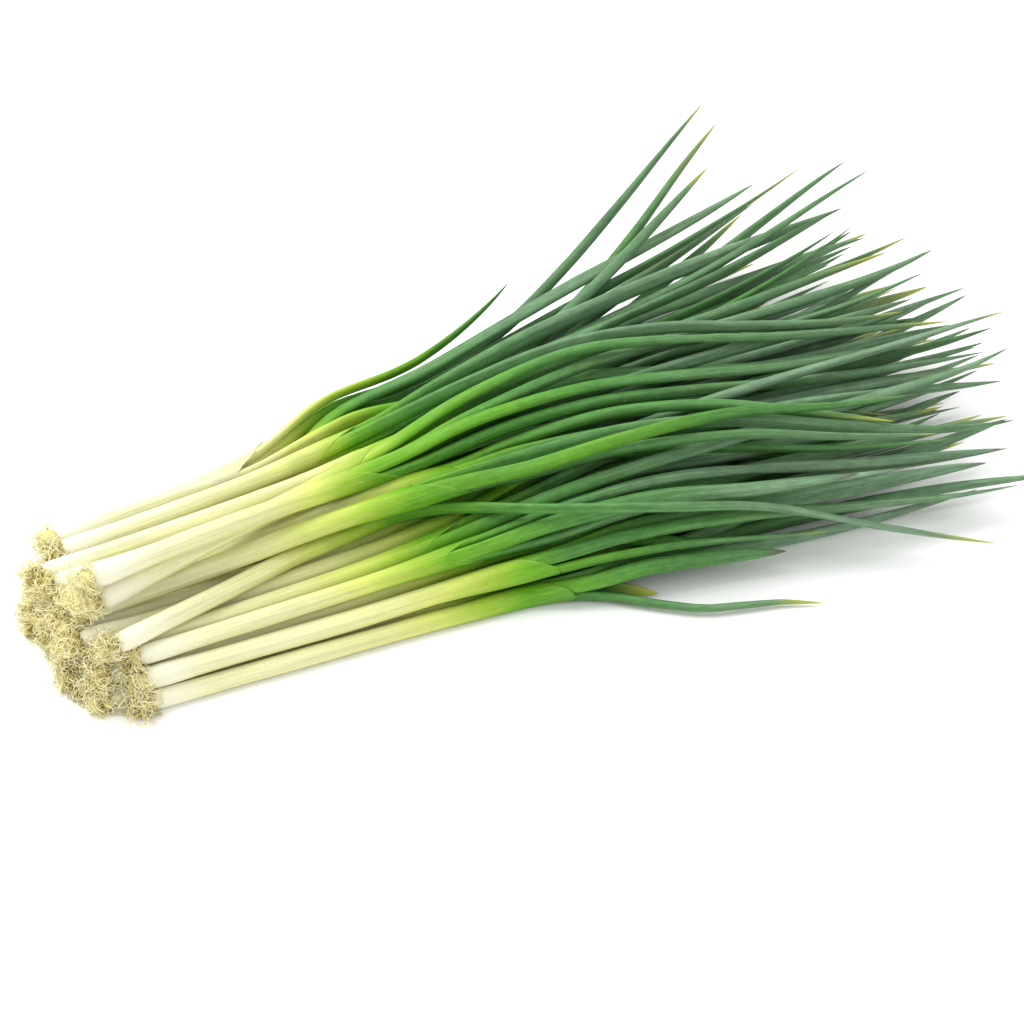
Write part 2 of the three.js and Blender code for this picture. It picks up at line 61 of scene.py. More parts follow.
# Onions laid slantwise over the rows: base x, y, z, shank radius, degrees to +Y, degrees up, neck, across.
CROSSING = [
    (-9, 26, 32, 5.1, 9, 1.5, 120, 0.42),
    (-9, 14, 27, 4.3, 15, 0, 114, 0.34),
    (-10, 33, 33, 4.6, 6, 1.5, 120, 0.36),
]
SHANK_RADIUS = (4.2, 5)
ROW_YAW = (-3, 5)
NECK_X, NECK_BACK_TOP, NECK_FRONT_BOTTOM, NECK_UNEVEN = 148, -34, 20, 12
BULGE_NECK, BULGE_NECK_STEP, BULGE_OUT, BULGE_OUT_STEP, BULGE_LENGTH = 60, 8, 26, -2, 150
STAGGER_ARC = (0.3, 0.72)
UNEVEN_X, UNEVEN_Y, UNEVEN_Z, UNEVEN_YAW = 6, 1, 0.5, 1.5
FOUR_LEAVED = 0.4
LEAF_RADIUS = (3.2, 4.4)
FAN_FRONT, FAN_BACK, FAN_MOST, FAN_UNEVEN = -48, 196, 215, 20
TIP_SPREAD = (14, 26)
TIP_SHORT = 110
# What a tip on the outline costs a leaf beside the distance in y: by height, and for each sibling placed.
TIP_COST_HEIGHT, TIP_COST_SIBLING = 1.5, 14
TIP_Z, TIP_Z_ROW, TIP_Z_LEAF, TIP_Z_UNEVEN, TIP_Z_LEAST = 5, 10, 6, 8, 3.5
TURN = (50, 180)
SWAY, ARCH, SWAYS = 6, 8, 1.35
PARTING = 100
# How far in x the longest leaf reaches, by y of its tip.
REACH = [
    (-95, 300), (-84, 395), (-60, 432), (-38, 445), (0, 465), (33, 485), (62, 486),
    (110, 480), (168, 488), (195, 465), (230, 430), (260, 435),
]
KINK_X, KINK_ASIDE, KINK_LENGTH = 255, -8, 60
# Leaves set one by one: onion, tip, length of the turn, arch, and for some their sway, radius and kink.
LONG_LEAVES = [
    (34, (401, -84, 12), 50, 20, {"sway": -26, "radius": 3}),
    (0, (309, -78, 4), 45, 0, {"sway": 0, "radius": 2.2, "kinked": True}),
    (31, (428, 40, 52), 90, 14, {}),
    (32, (439, 255, 75), 230, -4, {}),
    (32, (430, 230, 80), 300, -8, {}),
    (31, (412, 209, 60), 190, 0, {}),
    (32, (268, 158, 48), 180, -6, {}),
    (33, (455, 95, 60), 70, 6, {}),
]
# Tips on the outline of the bunch, each taken by the leaf that is headed nearest to it.
OUTER_TIPS = [
    (435, 196, 50), (470, 194, 55), (493, 189, 60), (492, 168, 60), (459, 159, 50), (453, 140, 45),
    (462, 135, 48), (480, 110, 50), (484, 99, 45), (486, 90, 45), (485, 62, 45), (488, 61, 40),
    (464, 59, 35), (486, 33, 45), (473, 22, 40), (468, 2, 40), (425, -2, 35), (459, -9, 35),
    (450, -24, 30), (445, -37, 30), (442, -41, 20), (431, -59, 15), (452, -68, 18),
    (331, -38, 10), (306, -43, 6), (272, -28, 6), (242, -30, 5),
]
ROOT_LENGTH = 18
TAPER_LATE, TAPER_BLUNT = 5, 0.72  # how late and how bluntly a leaf narrows in the CAD model
REST = 0.79  # lowest height of a line, as a share of its radius
GAP = 1.0
FIRST_STATION, LAST_STATION = -100, 550
COARSE_STEP, COARSE_CHECKS = 50, 8
ROUNDS, PULLED_ROUNDS, LAST_ROUNDS = 240, 120, 25
EVENING, DRAWING = 0.45, 0.02
SOFT_CONTACT, CONTACT_MOVE, LEAST_LOAD, SPREAD_MOVE, NEAR = 0.4, 1.5, 0.6, 1.3, 1.8
LEAST_APART = 1e-4

# ---- the finer lines ----

FINE_STEP, FINE_CHECKS = 12.5, 2
FINE_GAP = 0.1
FINE_ROUNDS, FINE_PULLED = 70, 55
LEAVING = 60  # a leaf's line leaves its shank's over this length past the neck
PAIR_ROUNDS = 8  # rounds between two looks for near pairs
PAIR_MARGIN = 9  # how much nearer a pair can come meanwhile


def smooth(t):
    t = np.clip(t, 0, 1)
    return t * t * (3 - 2 * t)


def lerp(a, b, t):
    return a + (b - a) * t


def wave(t):
    """From 0 up to 1 and back as t goes from 0 to 1."""
    return (1 - np.cos(2 * math.pi * np.clip(t, 0, 1))) / 2


class Draw:
    """Repeatable random draws, the same as the CAD model's."""

    FACTOR, STEP, RANGE = 1664525, 1013904223, 2**32

    def __init__(self, seed):
        self.state = seed

    def __call__(self, low=0.0, high=1.0):
        self.state = (self.state * self.FACTOR + self.STEP) % self.RANGE
        return low + (high - low) * self.state / self.RANGE


class Onion:
    """One onion: its base, shank radius, the slopes of its shank, its neck and its leaves."""

    def __init__(self, row, across, x, y, z, radius, slope, climb, neck, bulge):
        self.row, self.across, self.bulge = row, across, bulge
        self.x, self.y, self.z, self.radius = x, y, z, radius
        self.slope, self.climb, self.neck = slope, climb, neck
        self.leaves = []


class Leaf:
    """One leaf: its onion, its tip, its radius, and how it bends."""

    def __init__(self, onion, tip, radius, turn):
        self.onion, self.tip, self.radius, self.turn = onion, tip, radius, turn
        self.sway = self.arch = 0
        self.kinked = self.placed = False


def lay_onions(draw):
    onions = []
    for row, (count, first, pitch, stagger) in enumerate(ROWS):
        for slot in range(count):
            across = slot / (count - 1)
            up = row / (len(ROWS) - 1)
            radius = draw(*SHANK_RADIUS)
            y = first + pitch * slot + draw(-UNEVEN_Y, UNEVEN_Y)
            z = FIRST_ROW_Z + ROW_HEIGHT * row + draw(-UNEVEN_Z, UNEVEN_Z)
            outward = stagger * math.sin(math.pi * lerp(*STAGGER_ARC, across)) + draw(-UNEVEN_X, UNEVEN_X)
            x = 0 if slot == 0 and row < EVEN_ROWS else outward
            slope = math.tan(math.radians(lerp(*ROW_YAW, across) + draw(-UNEVEN_YAW, UNEVEN_YAW)))
            shift = NECK_BACK_TOP * across * up + NECK_FRONT_BOTTOM * (1 - up) * (1 - across)
            neck = NECK_X + shift + draw(-NECK_UNEVEN, NECK_UNEVEN)
            bulge = 0
            if slot == count - 1:
                neck = BULGE_NECK + BULGE_NECK_STEP * row
                bulge = BULGE_OUT + BULGE_OUT_STEP * row
            onions.append(Onion(row, across, x, y, z, radius, slope, 0, neck, bulge))
    for x, y, z, radius, yaw, climb, neck, across in CROSSING:
        slopes = math.tan(math.radians(yaw)), math.tan(math.radians(climb))
        onions.append(Onion(len(ROWS) - 1, across, x, y, z, radius, *slopes, neck, 0))
    return onions


def grow_leaves(onions, draw):
    leaves = []
    reach_y, reach_x = zip(*REACH)
    for onion in onions:
        count = 4 if draw() < FOUR_LEAVED else 3
        heading = lerp(FAN_FRONT, FAN_BACK, onion.across) + draw(-FAN_UNEVEN, FAN_UNEVEN)
        side = 1 if draw() < 0.5 else -1
        for i in range(count):
            rank = i - (count - 1) / 2
            y = min(max(heading + side * rank * draw(*TIP_SPREAD), FAN_FRONT), FAN_MOST)
            x = float(np.interp(y, reach_y, reach_x)) - draw(0, TIP_SHORT) * draw(0.1, 1)
            z = TIP_Z + TIP_Z_ROW * onion.row + TIP_Z_LEAF * rank + draw(0, TIP_Z_UNEVEN)
            leaf = Leaf(onion, (x, y, max(TIP_Z_LEAST, z)), draw(*LEAF_RADIUS), draw(*TURN))
            leaf.sway = draw(-SWAY, SWAY)
            leaf.arch = draw(0, ARCH)
            leaves.append(leaf)
            onion.leaves.append(leaf)
    for number, tip, turn, arch, shape in LONG_LEAVES:
        free = [leaf for leaf in onions[number].leaves if not leaf.placed]
        leaf = min(free, key=lambda one: abs(one.tip[1] - tip[1]))
        leaf.tip, leaf.turn, leaf.arch, leaf.placed = tip, turn, arch, True
        leaf.sway, leaf.radius = shape.get("sway", leaf.sway), shape.get("radius", leaf.radius)
        leaf.kinked = "kinked" in shape
    for tip in OUTER_TIPS:

        def cost(leaf):
            siblings = sum(one.placed for one in leaf.onion.leaves)
            height = TIP_COST_HEIGHT * abs(leaf.tip[2] - tip[2])
            return abs(leaf.tip[1] - tip[1]) + height + TIP_COST_SIBLING * siblings

        leaf = min((one for one in leaves if not one.placed), key=cost)
        leaf.tip, leaf.placed = tip, True
    return leaves


def parted_at(leaf, x):
    """How far a leaf has parted from its neck at x, from 0 to 1."""
    return smooth((x - leaf.onion.neck) / PARTING)


def along_at(leaf, x):
    return np.clip((x - leaf.onion.neck) / (leaf.tip[0] - leaf.onion.neck), 0, 1)


def taper_at(leaf, x):
    """How a leaf narrows to its tip, from 1 to 0."""
    return (1 - along_at(leaf, x) ** TAPER_LATE) ** TAPER_BLUNT


def room_at(leaf, x):
    """The radius that an onion takes up round one leaf's line."""
    return lerp(leaf.onion.radius, leaf.radius, parted_at(leaf, x)) * taper_at(leaf, x)


def grown_at(leaf, x):
    """The line a leaf would grow in, alone: y and z at x."""
    onion, tip = leaf.onion, leaf.tip

    def swing(place):
        turns = np.maximum(0, (place - onion.neck) / leaf.turn)
        part = np.minimum(turns, 1)
        return leaf.turn * (part**3 - part**4 / 2 + np.maximum(turns - 1, 0))

    along = (x - onion.neck) / (tip[0] - onion.neck)
    to_tip = tip[0] - onion.x
    aside = (tip[1] - onion.y - onion.slope * to_tip) / swing(tip[0])
    rise = (tip[2] - onion.z - onion.climb * to_tip) / swing(tip[0])
    bowed = leaf.sway * wave(along * SWAYS) + onion.bulge * wave((x - onion.neck) / BULGE_LENGTH)
    y = onion.y + onion.slope * (x - onion.x) + aside * swing(x) + bowed
    if leaf.kinked:
        y = y + KINK_ASIDE * np.maximum(0, 1 - abs(x - KINK_X) / KINK_LENGTH)
    z = onion.z + onion.climb * (x - onion.x) + rise * swing(x) + leaf.arch * wave(along)
    return np.stack([y, z], -1)


def beside(values):
    """The mean of the values at the stations before and after each one, along axis 1."""
    before = np.concatenate([values[:, 1:2], values[:, :-1]], 1)
    after = np.concatenate([values[:, 1:], values[:, -2:-1]], 1)
    return (before + after) / 2


def settle(leaves, grown, step, per_step, gap, rounds, pulled_rounds):
    """Lets leaves and shanks push each other clear, from the lines [leaf, station, (y, z)] in grown."""
    count, stations = grown.shape[:2]
    xs = FIRST_STATION + step * np.arange(stations)
    checks = FIRST_STATION + step / per_step * np.arange((stations - 1) * per_step + 1)
    k_of = np.minimum(np.arange(len(checks)) // per_step, stations - 2)
    t_of = np.arange(len(checks)) / per_step - k_of
    room = np.array([room_at(leaf, checks) for leaf in leaves])
    parted = np.array([parted_at(leaf, checks) for leaf in leaves])
    lowest = REST * np.array([room_at(leaf, xs) for leaf in leaves])
    leader = np.array([leaves.index(leaf.onion.leaves[0]) for leaf in leaves])
    is_leader = leader == np.arange(count)
    neck = np.array([leaf.onion.neck for leaf in leaves])
    base = np.array([leaf.onion.x for leaf in leaves])
    tip = np.array([leaf.tip[0] for leaf in leaves])
    held = xs[None] <= neck[:, None]
    here = (checks >= base[:, None] - ROOT_LENGTH) & (checks <= tip[:, None])
    here &= (checks > neck[:, None]) | is_leader[:, None]
    place = grown.copy()

    def between(values, i, k, t):
        return values[i, k] * (1 - t)[:, None] + values[i, k + 1] * t[:, None]

    def near_pairs():
        found = []
        for c in range(len(checks)):
            i = np.nonzero(here[:, c])[0]
            at = between(place, i, np.full(len(i), k_of[c]), np.full(len(i), t_of[c]))
            apart = ((at[:, None] - at[None]) ** 2).sum(-1)
            need = room[i, c][:, None] + room[i, c][None] + gap + PAIR_MARGIN
            one, two = np.nonzero(np.triu(apart < NEAR * need * need, 1))
            found.append(np.stack([i[one], i[two], np.full(len(one), c)]))
        i, j, c = np.concatenate(found, 1)
        same = leader[i] == leader[j]
        need = (room[i, c] + room[j, c] + gap) * np.where(same, np.minimum(parted[i, c], parted[j, c]), 1)
        return i, j, k_of[c], t_of[c], need

    for turn in range(rounds):
        if turn < pulled_rounds:
            ease = 1 - turn / pulled_rounds
            moved = place - grown
            evened = moved + EVENING * ease * (beside(moved) - moved)
            place = grown + evened * (1 - DRAWING * ease)
        slope = np.empty_like(place)
        slope[:, 1:-1] = (place[:, 2:] - place[:, :-2]) / (2 * step)
        slope[:, 0], slope[:, -1] = slope[:, 1], slope[:, -2]
        if turn % PAIR_ROUNDS == 0:
            pairs = near_pairs()
        i, j, k, t, need = pairs
        d = between(place, i, k, t) - between(place, j, k, t)
        m = (between(slope, i, k, t) + between(slope, j, k, t)) / 2
        apart = (d**2).sum(-1)
        lengthwise = (d * m).sum(-1) ** 2 / (1 + (m**2).sum(-1))
        distance = np.sqrt(np.maximum(apart - lengthwise, LEAST_APART))
        over = need - distance
        hit = (over > 0) & (apart <= NEAR * need * need)
        i, j, k, t, over, distance, d = i[hit], j[hit], k[hit], t[hit], over[hit], distance[hit], d[hit]
        weight = np.minimum(1, over / SOFT_CONTACT)
        half = d * (over / distance * weight / 2)[:, None]
        push = np.zeros((count * stations, 2))
        load = np.zeros(count * stations)
        for rows, sign in ((i, 1), (j, -1)):
            for cols, part in ((k, 1 - t), (k + 1, t)):
                at = rows * stations + cols
                for axis in (0, 1):
                    push[:, axis] += np.bincount(at, sign * half[:, axis] * part, count * stations)
                load += np.bincount(at, weight * part, count * stations)
        move = (CONTACT_MOVE * push / np.maximum(load, LEAST_LOAD)[:, None]).reshape(place.shape)
        place += SPREAD_MOVE * (move + beside(move)) / 2 if turn < rounds - LAST_ROUNDS else move
        place[..., 1] = np.maximum(place[..., 1], lowest)
        place = np.where(held[..., None], place[leader], place)
    return place


def through(values, step, x):
    """Smooth curves through the stations' values [station, (y, z)], at every x."""
    at = (np.asarray(x, float) - FIRST_STATION) / step
    k = np.clip(np.floor(at).astype(int), 0, len(values) - 2)
    t = (at - k)[..., None]
    last = len(values) - 1
    a, b, c, d = (values[np.clip(k + i, 0, last)] for i in (-1, 0, 1, 2))
    m0, m1 = (c - a) / 2, (d - b) / 2
    return (
        (2 * t**3 - 3 * t**2 + 1) * b + (t**3 - 2 * t**2 + t) * m0
        + (3 * t**2 - 2 * t**3) * c + (t**3 - t**2) * m1
    )


def lay_bunch():
    """All onions, each leaf with its settled line, and the shift from the laid frame to the CAD's."""
    draw = Draw(SEED)
    onions = lay_onions(draw)
    leaves = grow_leaves(onions, draw)
    xs = np.arange(FIRST_STATION, LAST_STATION + 1, COARSE_STEP, float)
    grown = np.array([grown_at(leaf, xs) for leaf in leaves])
    coarse = settle(leaves, grown, COARSE_STEP, COARSE_CHECKS, GAP, ROUNDS, PULLED_ROUNDS)
    tips = np.array([through_lines(line, leaf.tip[0]) for line, leaf in zip(coarse, leaves)])
    shift = find_shift(onions, leaves, tips)
    xs = np.arange(FIRST_STATION, LAST_STATION + 1, FINE_STEP)
    eased = np.array([through(line, COARSE_STEP, xs) for line in coarse])
    leader = [leaves.index(leaf.onion.leaves[0]) for leaf in leaves]
    leaving = np.array([smooth((xs - leaf.onion.neck) / LEAVING) for leaf in leaves])[..., None]
    eased = lerp(eased[leader], eased, leaving)
    fine = settle(leaves, eased, FINE_STEP, FINE_CHECKS, FINE_GAP, FINE_ROUNDS, FINE_PULLED)
    for leaf, line in zip(leaves, fine):
        leaf.line = line
    return onions, shift


def through_lines(line, x):
    """A coarse line's y and z at x, straight between its stations."""
    xs = FIRST_STATION + COARSE_STEP * np.arange(len(line))
    return [np.interp(x, xs, line[:, axis]) for axis in (0, 1)]


def find_shift(onions, leaves, tips):
    """The shift from the laid frame to the CAD's.

    A node's highest x is the tip of its longest leaf, and the bunch's highest y is the tip of its back leaf.
    """
    shifts_x, tops = [], []
    for number, onion in enumerate(onions):
        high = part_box(f"onion_{number + 1:02d}")[1]
        shifts_x.append(high.x / MM - max(leaf.tip[0] for leaf in onion.leaves))
        tops.append((max(tip[0] for tip, leaf in zip(tips, leaves) if leaf.onion is onion), high.y / MM))
    laid, packed = max(tops)
    return np.array([np.median(shifts_x), packed - laid, 0])


# ---- forms, in millimetres ----

SHANK_SIDES, LEAF_SIDES, ROOT_SIDES, CLUMP_SIDES = 32, 18, 3, 14
SKIN, ROOT = 0, 1  # the materials' places on a piece
SKIN_PROUD = 0.25  # how far a skin stands out past the CAD's radius, which keeps a gap to its neighbours
PROUD_FADE = 3  # past the base plate, over this length
SLOPE_STEP = 2  # a shank's slope at a ring is taken from this far before it to this far past it
TABLE_GAP = 0.02
# The bulb and shank: distance past the base plate, and share of the onion's radius.
BULB = [
    (-0.9, 0.3), (-0.5, 0.55), (0.2, 0.76), (1.4, 0.91), (3.5, 1.01),
    (7, 1.04), (12, 1.03), (22, 0.98), (40, 0.96),
]
BULB_SWELL = (-0.02, 0.05)
SWELL_START, SWELL_FADE = 10, 20
# Rings along the shank: where its three stretches start or end past the base plate, and how many each has.
PLATE_END, BULB_START, BULB_END, SHANK_START = 1.4, 2.2, 30, 38
PLATE_RINGS, BULB_RINGS, SHANK_RINGS = 5, 9, 26
PLATE_BULGE = 0.2
SHANK_WAVE, SHANK_WAVE_LENGTH, SHANK_WAVE_START, SHANK_WAVE_FADE = 0.018, (9, 14), (0, 6), 20
SHANK_TONE, SHANK_TONE_UNEVEN = 0.3, 0.2
# The bundle of leaves fans out in the neck, and the sheath is drawn round it.
FAN_START, FAN_LENGTH = 42, 62
BUNDLED, FANNED = 0.42, 0.86  # how far out the leaves lie, in shank radii, before and after they fan out
HULL_START, HULL_LENGTH = 48, 34
RIM_SHORT, RIM_LONG, RIM_CURVE = 0.6, 30, 0.7  # the mouth's slant: past the neck on its short and long side
RIM_DEPTH = 6
RIM_RAGGED = 0.5
RIM_PARTS = (0, 0.2, 0.42, 0.62, 0.8, 0.92, 1)
RIM_PROUD = 1.05
# Past the rim the skin turns in: a lip inside it, then two rings down the sheath, as shares of its radius.
LIP, LIP_PROUD, INSIDE = 0.1, 0.2, (0.86, 0.5)
RIM_RINGS, RIM_PALE = slice(-5, -2), (0.3, 1, 1)  # the rings with a pale edge, and how pale each is
FACING = 0.05  # the sheath isn't drawn tight over points that face further aside than this
# Painted shade: a shank is painted yellower low on its sides and in the lower rows, where shade falls between
# the shanks.
GROOVE_SHADE_START, GROOVE_SHADE_ROW = 0.4, 0.15  # a shank is yellower low on its sides, and in the lower rows
LEAF_START = 12  # leaves start this far before the neck, inside the sheath
LEAF_STEP = 6.5
TIP_LENGTH = 45
PARTING_RINGS, LEAST_RINGS, TIP_RINGS = 16, 10, 16
TIP_END, TIP_CROWD, TIP_POINT = 0.012, 1.15, 0.3  # the rings crowd to the tip, and its point stands past them
# A bundled leaf's half thickness and half width in shank radii, for the innermost and the outermost.
BUNDLED_THIN, BUNDLED_WIDE = (0.62, 0.46), (0.6, 0.8)
FULLY_OUT = 1.3  # a leaf lies fully out in the bundle where this times its outward share reaches 1
LEAF_FLAT = (0.55, 0.86)
LEAF_POINT, LEAF_BLUNT = (3.6, 8), 0.8  # how late and how bluntly a leaf narrows to its tip
# How far a tip is bent, how much of that goes aside and up, and from how far before it.
HOOK, HOOK_SHARES, HOOK_LENGTH = 4.5, (1, 0.5), (40, 90)
SHARP_KINK, SHARP_KINK_LENGTH = -5, 36
LEAF_WAVE, LEAF_WAVE_LENGTH = 0.03, (14, 24)
LEAF_TWIST = 1.2
LEAF_GROOVE = 0.18
CREASED, CREASE_PLACE, CREASE_LENGTH, CREASE_DEPTH = 0.25, (0.35, 0.8), (6, 12), (0.1, 0.3)
CREASE_WIDENS = 0.35  # a creased leaf widens by this share of what it loses in thickness
# Share of tips that dry dark, how long dark and yellow tips are, and the tones that tell them apart.
DARK_TIPPED, DARK_TIP, YELLOW_TIP = 0.6, (6, 15), (12, 36)
DARK_TONE, YELLOW_TONE = (0, 0.5), (0.5, 1)
ONION_SEED = 100
GRAIN_START, GRAIN_SHIFT = (0, 900), (0, 60)  # where an onion's grain starts, and how far its leaves' differs
EARLY_ONION, SHANK_LATER = (-10, 10), 4  # how much sooner an onion turns green, and how much later its shank
# Partly painted light: the back onions and the bulge turn green later and stay paler, partly their own colour
# and partly painted light falling from behind.
EARLY_FRONT, EARLY_BACK_LIT, EARLY_BULGE_LIT = 24, -20, -58  # the same, by its place in the bunch
CAUGHT_UP, CAUGHT_UP_LENGTH = 0.8, 130  # leaves lose this share of it, over this length past the neck
EARLY_LEAF, EARLY_LENGTH = 20, 50  # how much sooner a leaf turns green, and the length this comes in over
# Bloom on a leaf: its mean and spread, and how much more of it there is on leaves that point to the front.
BLOOM_MEAN, BLOOM_UNEVEN, BLOOM_FRONT, FRONT_Y, FRONT_REACH = 0.5, 0.3, 0.35, 60, 150
FRESH, FRESH_BY = 0.28, (0.25, 0.5)  # share of leaves that stay a fresher green, and by how much
# The matted heart of a tuft: its length, lumps and rings, and in shank radii its start, bulge and taper.
CLUMP_LENGTH, CLUMP_LUMPS, CLUMP_RINGS = (6, 9), 0.16, 8
CLUMP_RADIUS, CLUMP_BULGE, CLUMP_CLOSES = 0.66, 0.5, 0.3
CLUMP_SUNK, CLUMP_HEART, CLUMP_TONE = 0.6, 0.7, 0.1
ROOT_COUNT = (120, 140)
ROOT_THICK, ROOT_THICKEST, ROOT_THINS = (0.17, 0.32), 1.15, 0.55
ROOT_TONE = (0.25, 1)
# Roots start spread over the base plate, sunk in it, and the outer ones along the heart too.
ROOT_OUT, ROOT_SUNK, OUTER_ROOT = (0.03, 0.8), 0.8, 0.5
# The front onions of the lower rows have roots that lean to the front.
LEANING_ROWS, LEANING_ACROSS, ROOT_LEAN = 2, 0.4, 0.6
ROOT_DROOP, ROOT_SPLAY, LEAST_SPLAY = 0.1, (0.1, 1.7), 0.35
ROOT_REACH, ROOT_SPREAD = (8, 15), 0.5  # the front onions' roots spread further, by this share
ROOT_STEPS = 11
# Share of onions with some roots darkened, and the tone under which a root is darkened.
DARK_ROOTED, DARK_ROOT_TONE = 0.35, 0.55
# How a root bends at a step, how the bend's axis turns, and how much the heart draws it back.
ROOT_BEND, ROOT_WANDER, ROOT_DRAWN = (0.25, 0.75), 0.45, 0.02
ROOT_LIFT, ROOT_LIFT_MOST = 0.3, 1.2  # roots that would run into the table lie on it, some over others
OFF_AXIS = (0.1, 0.3, 1.0)  # a direction that roots hardly ever run in
WISP_COUNT, WISP_THICK, WISP_REACH, WISP_STEPS = 3, (0.09, 0.14), (18, 32), 24


class Flesh:
    """Vertices and faces of one piece, with what each vertex carries for the materials."""

    CARRIED = ("from_base", "past_neck", "along", "tone", "bloom", "dry", "edge", "groove")

    def __init__(self):
        self.points, self.faces, self.skins, self.grain = [], [], [], []
        self.carried = {name: [] for name in self.CARRIED}
        self.size = 0

    def add(self, rings, first, last, skin, grain, **carried):
        """A closed skin over rings [ring, side, xyz], ending in the points first and last."""
        count, sides = rings.shape[:2]
        points = np.concatenate([rings.reshape(-1, 3), [first, last]])
        at = np.arange(count * sides).reshape(count, sides)
        a, b = at[:-1], np.roll(at[:-1], -1, 1)
        c, d = np.roll(at[1:], -1, 1), at[1:]
        quads = np.stack([a, b, c, d], -1).reshape(-1, 4)
        start = np.stack([np.roll(at[0], -1), at[0], np.full(sides, count * sides)], -1)
        end = np.stack([at[-1], np.roll(at[-1], -1), np.full(sides, count * sides + 1)], -1)
        corners = points[quads] - points.mean(0)
        volume = np.einsum("ij,ij->i", corners[:, 0], np.cross(corners[:, 1], corners[:, 2])).sum()
        volume += np.einsum("ij,ij->i", corners[:, 0], np.cross(corners[:, 2], corners[:, 3])).sum()
        turned = [quads, start, end] if volume > 0 else [faces[:, ::-1] for faces in (quads, start, end)]
        for faces in turned:
            self.faces.extend((faces + self.size).tolist())
            self.skins.extend([skin] * len(faces))
        self.points.append(points)
        self.grain.append(np.concatenate([grain.reshape(-1, 3), grain[0, :1], grain[-1, :1]]))
        for name in self.CARRIED:
            value = np.broadcast_to(carried.get(name, 0), (count, sides)).reshape(-1)
            self.carried[name].append(np.concatenate([value, value[:1], value[-1:]]))
        self.size += len(points)

    def piece(self, name, shift, materials):
        points = np.concatenate(self.points)
        points[:, 2] = np.maximum(points[:, 2], TABLE_GAP)
        mesh = bpy.data.meshes.new(name)
        mesh.from_pydata(((points + shift) * MM).tolist(), [], self.faces)
        for material in materials:
            mesh.materials.append(material)
        mesh.polygons.foreach_set("material_index", self.skins)
        mesh.polygons.foreach_set("use_smooth", np.ones(len(self.faces), bool))
        for key, values in self.carried.items():
            layer = mesh.attributes.new(key, "FLOAT", "POINT")
            layer.data.foreach_set("value", np.concatenate(values).astype(np.float32))
        grain = mesh.attributes.new("grain", "FLOAT_VECTOR", "POINT")
        grain.data.foreach_set("vector", np.concatenate(self.grain).astype(np.float32).ravel())
        mesh.update()
        made = bpy.data.objects.new(name, mesh)
        bpy.context.scene.collection.objects.link(made)
        return made


def line_at(leaf, x):
    """The y and z of a leaf's line at every x."""
    return through(leaf.line, FINE_STEP, x)


def circle(sides):
    return np.linspace(0, 2 * math.pi, sides, endpoint=False)


def unit(vectors):
    return vectors / np.maximum(np.linalg.norm(vectors, axis=-1, keepdims=True), 1e-9)


class Blade:
    """How one leaf is shaped: which way it lies from its siblings, how flat, waved and creased it is."""

    def __init__(self, leaf, rng):
        self.leaf = leaf
        parted = np.array([leaf.onion.neck + PARTING])
        lines = [line_at(one, parted)[0] for one in leaf.onion.leaves]
        away = (lines[leaf.onion.leaves.index(leaf)] - np.mean(lines, 0)) / leaf.radius
        self.aside = away / max(1, np.linalg.norm(away))
        self.outward = float(np.linalg.norm(self.aside))
        self.angle = math.atan2(self.aside[1], self.aside[0])
        self.flat = rng.uniform(*LEAF_FLAT)
        self.wave_length, self.wave_start = rng.uniform(*LEAF_WAVE_LENGTH), rng.uniform(0, 2 * math.pi)
        self.twist = rng.uniform(-LEAF_TWIST, LEAF_TWIST)
        self.groove = rng.uniform(0, LEAF_GROOVE)
        self.crease = rng.uniform(*CREASE_PLACE) if rng.random() < CREASED else None
        self.crease_length, self.crease_depth = rng.uniform(*CREASE_LENGTH), rng.uniform(*CREASE_DEPTH)
        self.early, self.drawn = rng.uniform(-1, 1), rng.uniform(*GRAIN_SHIFT)
        self.fresh = rng.uniform(*FRESH_BY) if rng.random() < FRESH else 0
        self.point = rng.uniform(*LEAF_POINT)
        self.hook = rng.uniform(-HOOK, HOOK, 2) * HOOK_SHARES
        self.hook_length = rng.uniform(*HOOK_LENGTH)

    def section(self, x):
        """At x: the offset of the leaf's middle from its line, and its half thickness and half width."""
        leaf, onion = self.leaf, self.leaf.onion
        parted = parted_at(leaf, x)
        fanned = smooth((x - onion.neck + FAN_START) / FAN_LENGTH)
        out = onion.radius * lerp(BUNDLED, FANNED, fanned) * (1 - parted) * min(1, FULLY_OUT * self.outward)
        offset = out[..., None] * unit(self.aside)
        bent = np.clip(1 - (leaf.tip[0] - x) / self.hook_length, 0, 1) ** 2
        offset = offset + bent[..., None] * self.hook * parted[..., None]
        if leaf.kinked:
            offset[..., 0] += SHARP_KINK * np.maximum(0, 1 - abs(x - KINK_X) / SHARP_KINK_LENGTH)
        taper = (1 - along_at(leaf, x) ** self.point) ** LEAF_BLUNT
        even = taper * (1 + LEAF_WAVE * parted * np.sin(x / self.wave_length + self.wave_start))
        thin = lerp(onion.radius * lerp(*BUNDLED_THIN, self.outward), leaf.radius * self.flat, parted) * even
        wide = lerp(onion.radius * lerp(*BUNDLED_WIDE, self.outward), leaf.radius, parted) * even
        if self.crease:
            past = (along_at(leaf, x) - self.crease) * (leaf.tip[0] - onion.neck)
            pinch = self.crease_depth * np.exp(-((past / self.crease_length) ** 2))
            thin, wide = thin * (1 - pinch), wide * (1 + CREASE_WIDENS * pinch)
        return offset, thin, wide


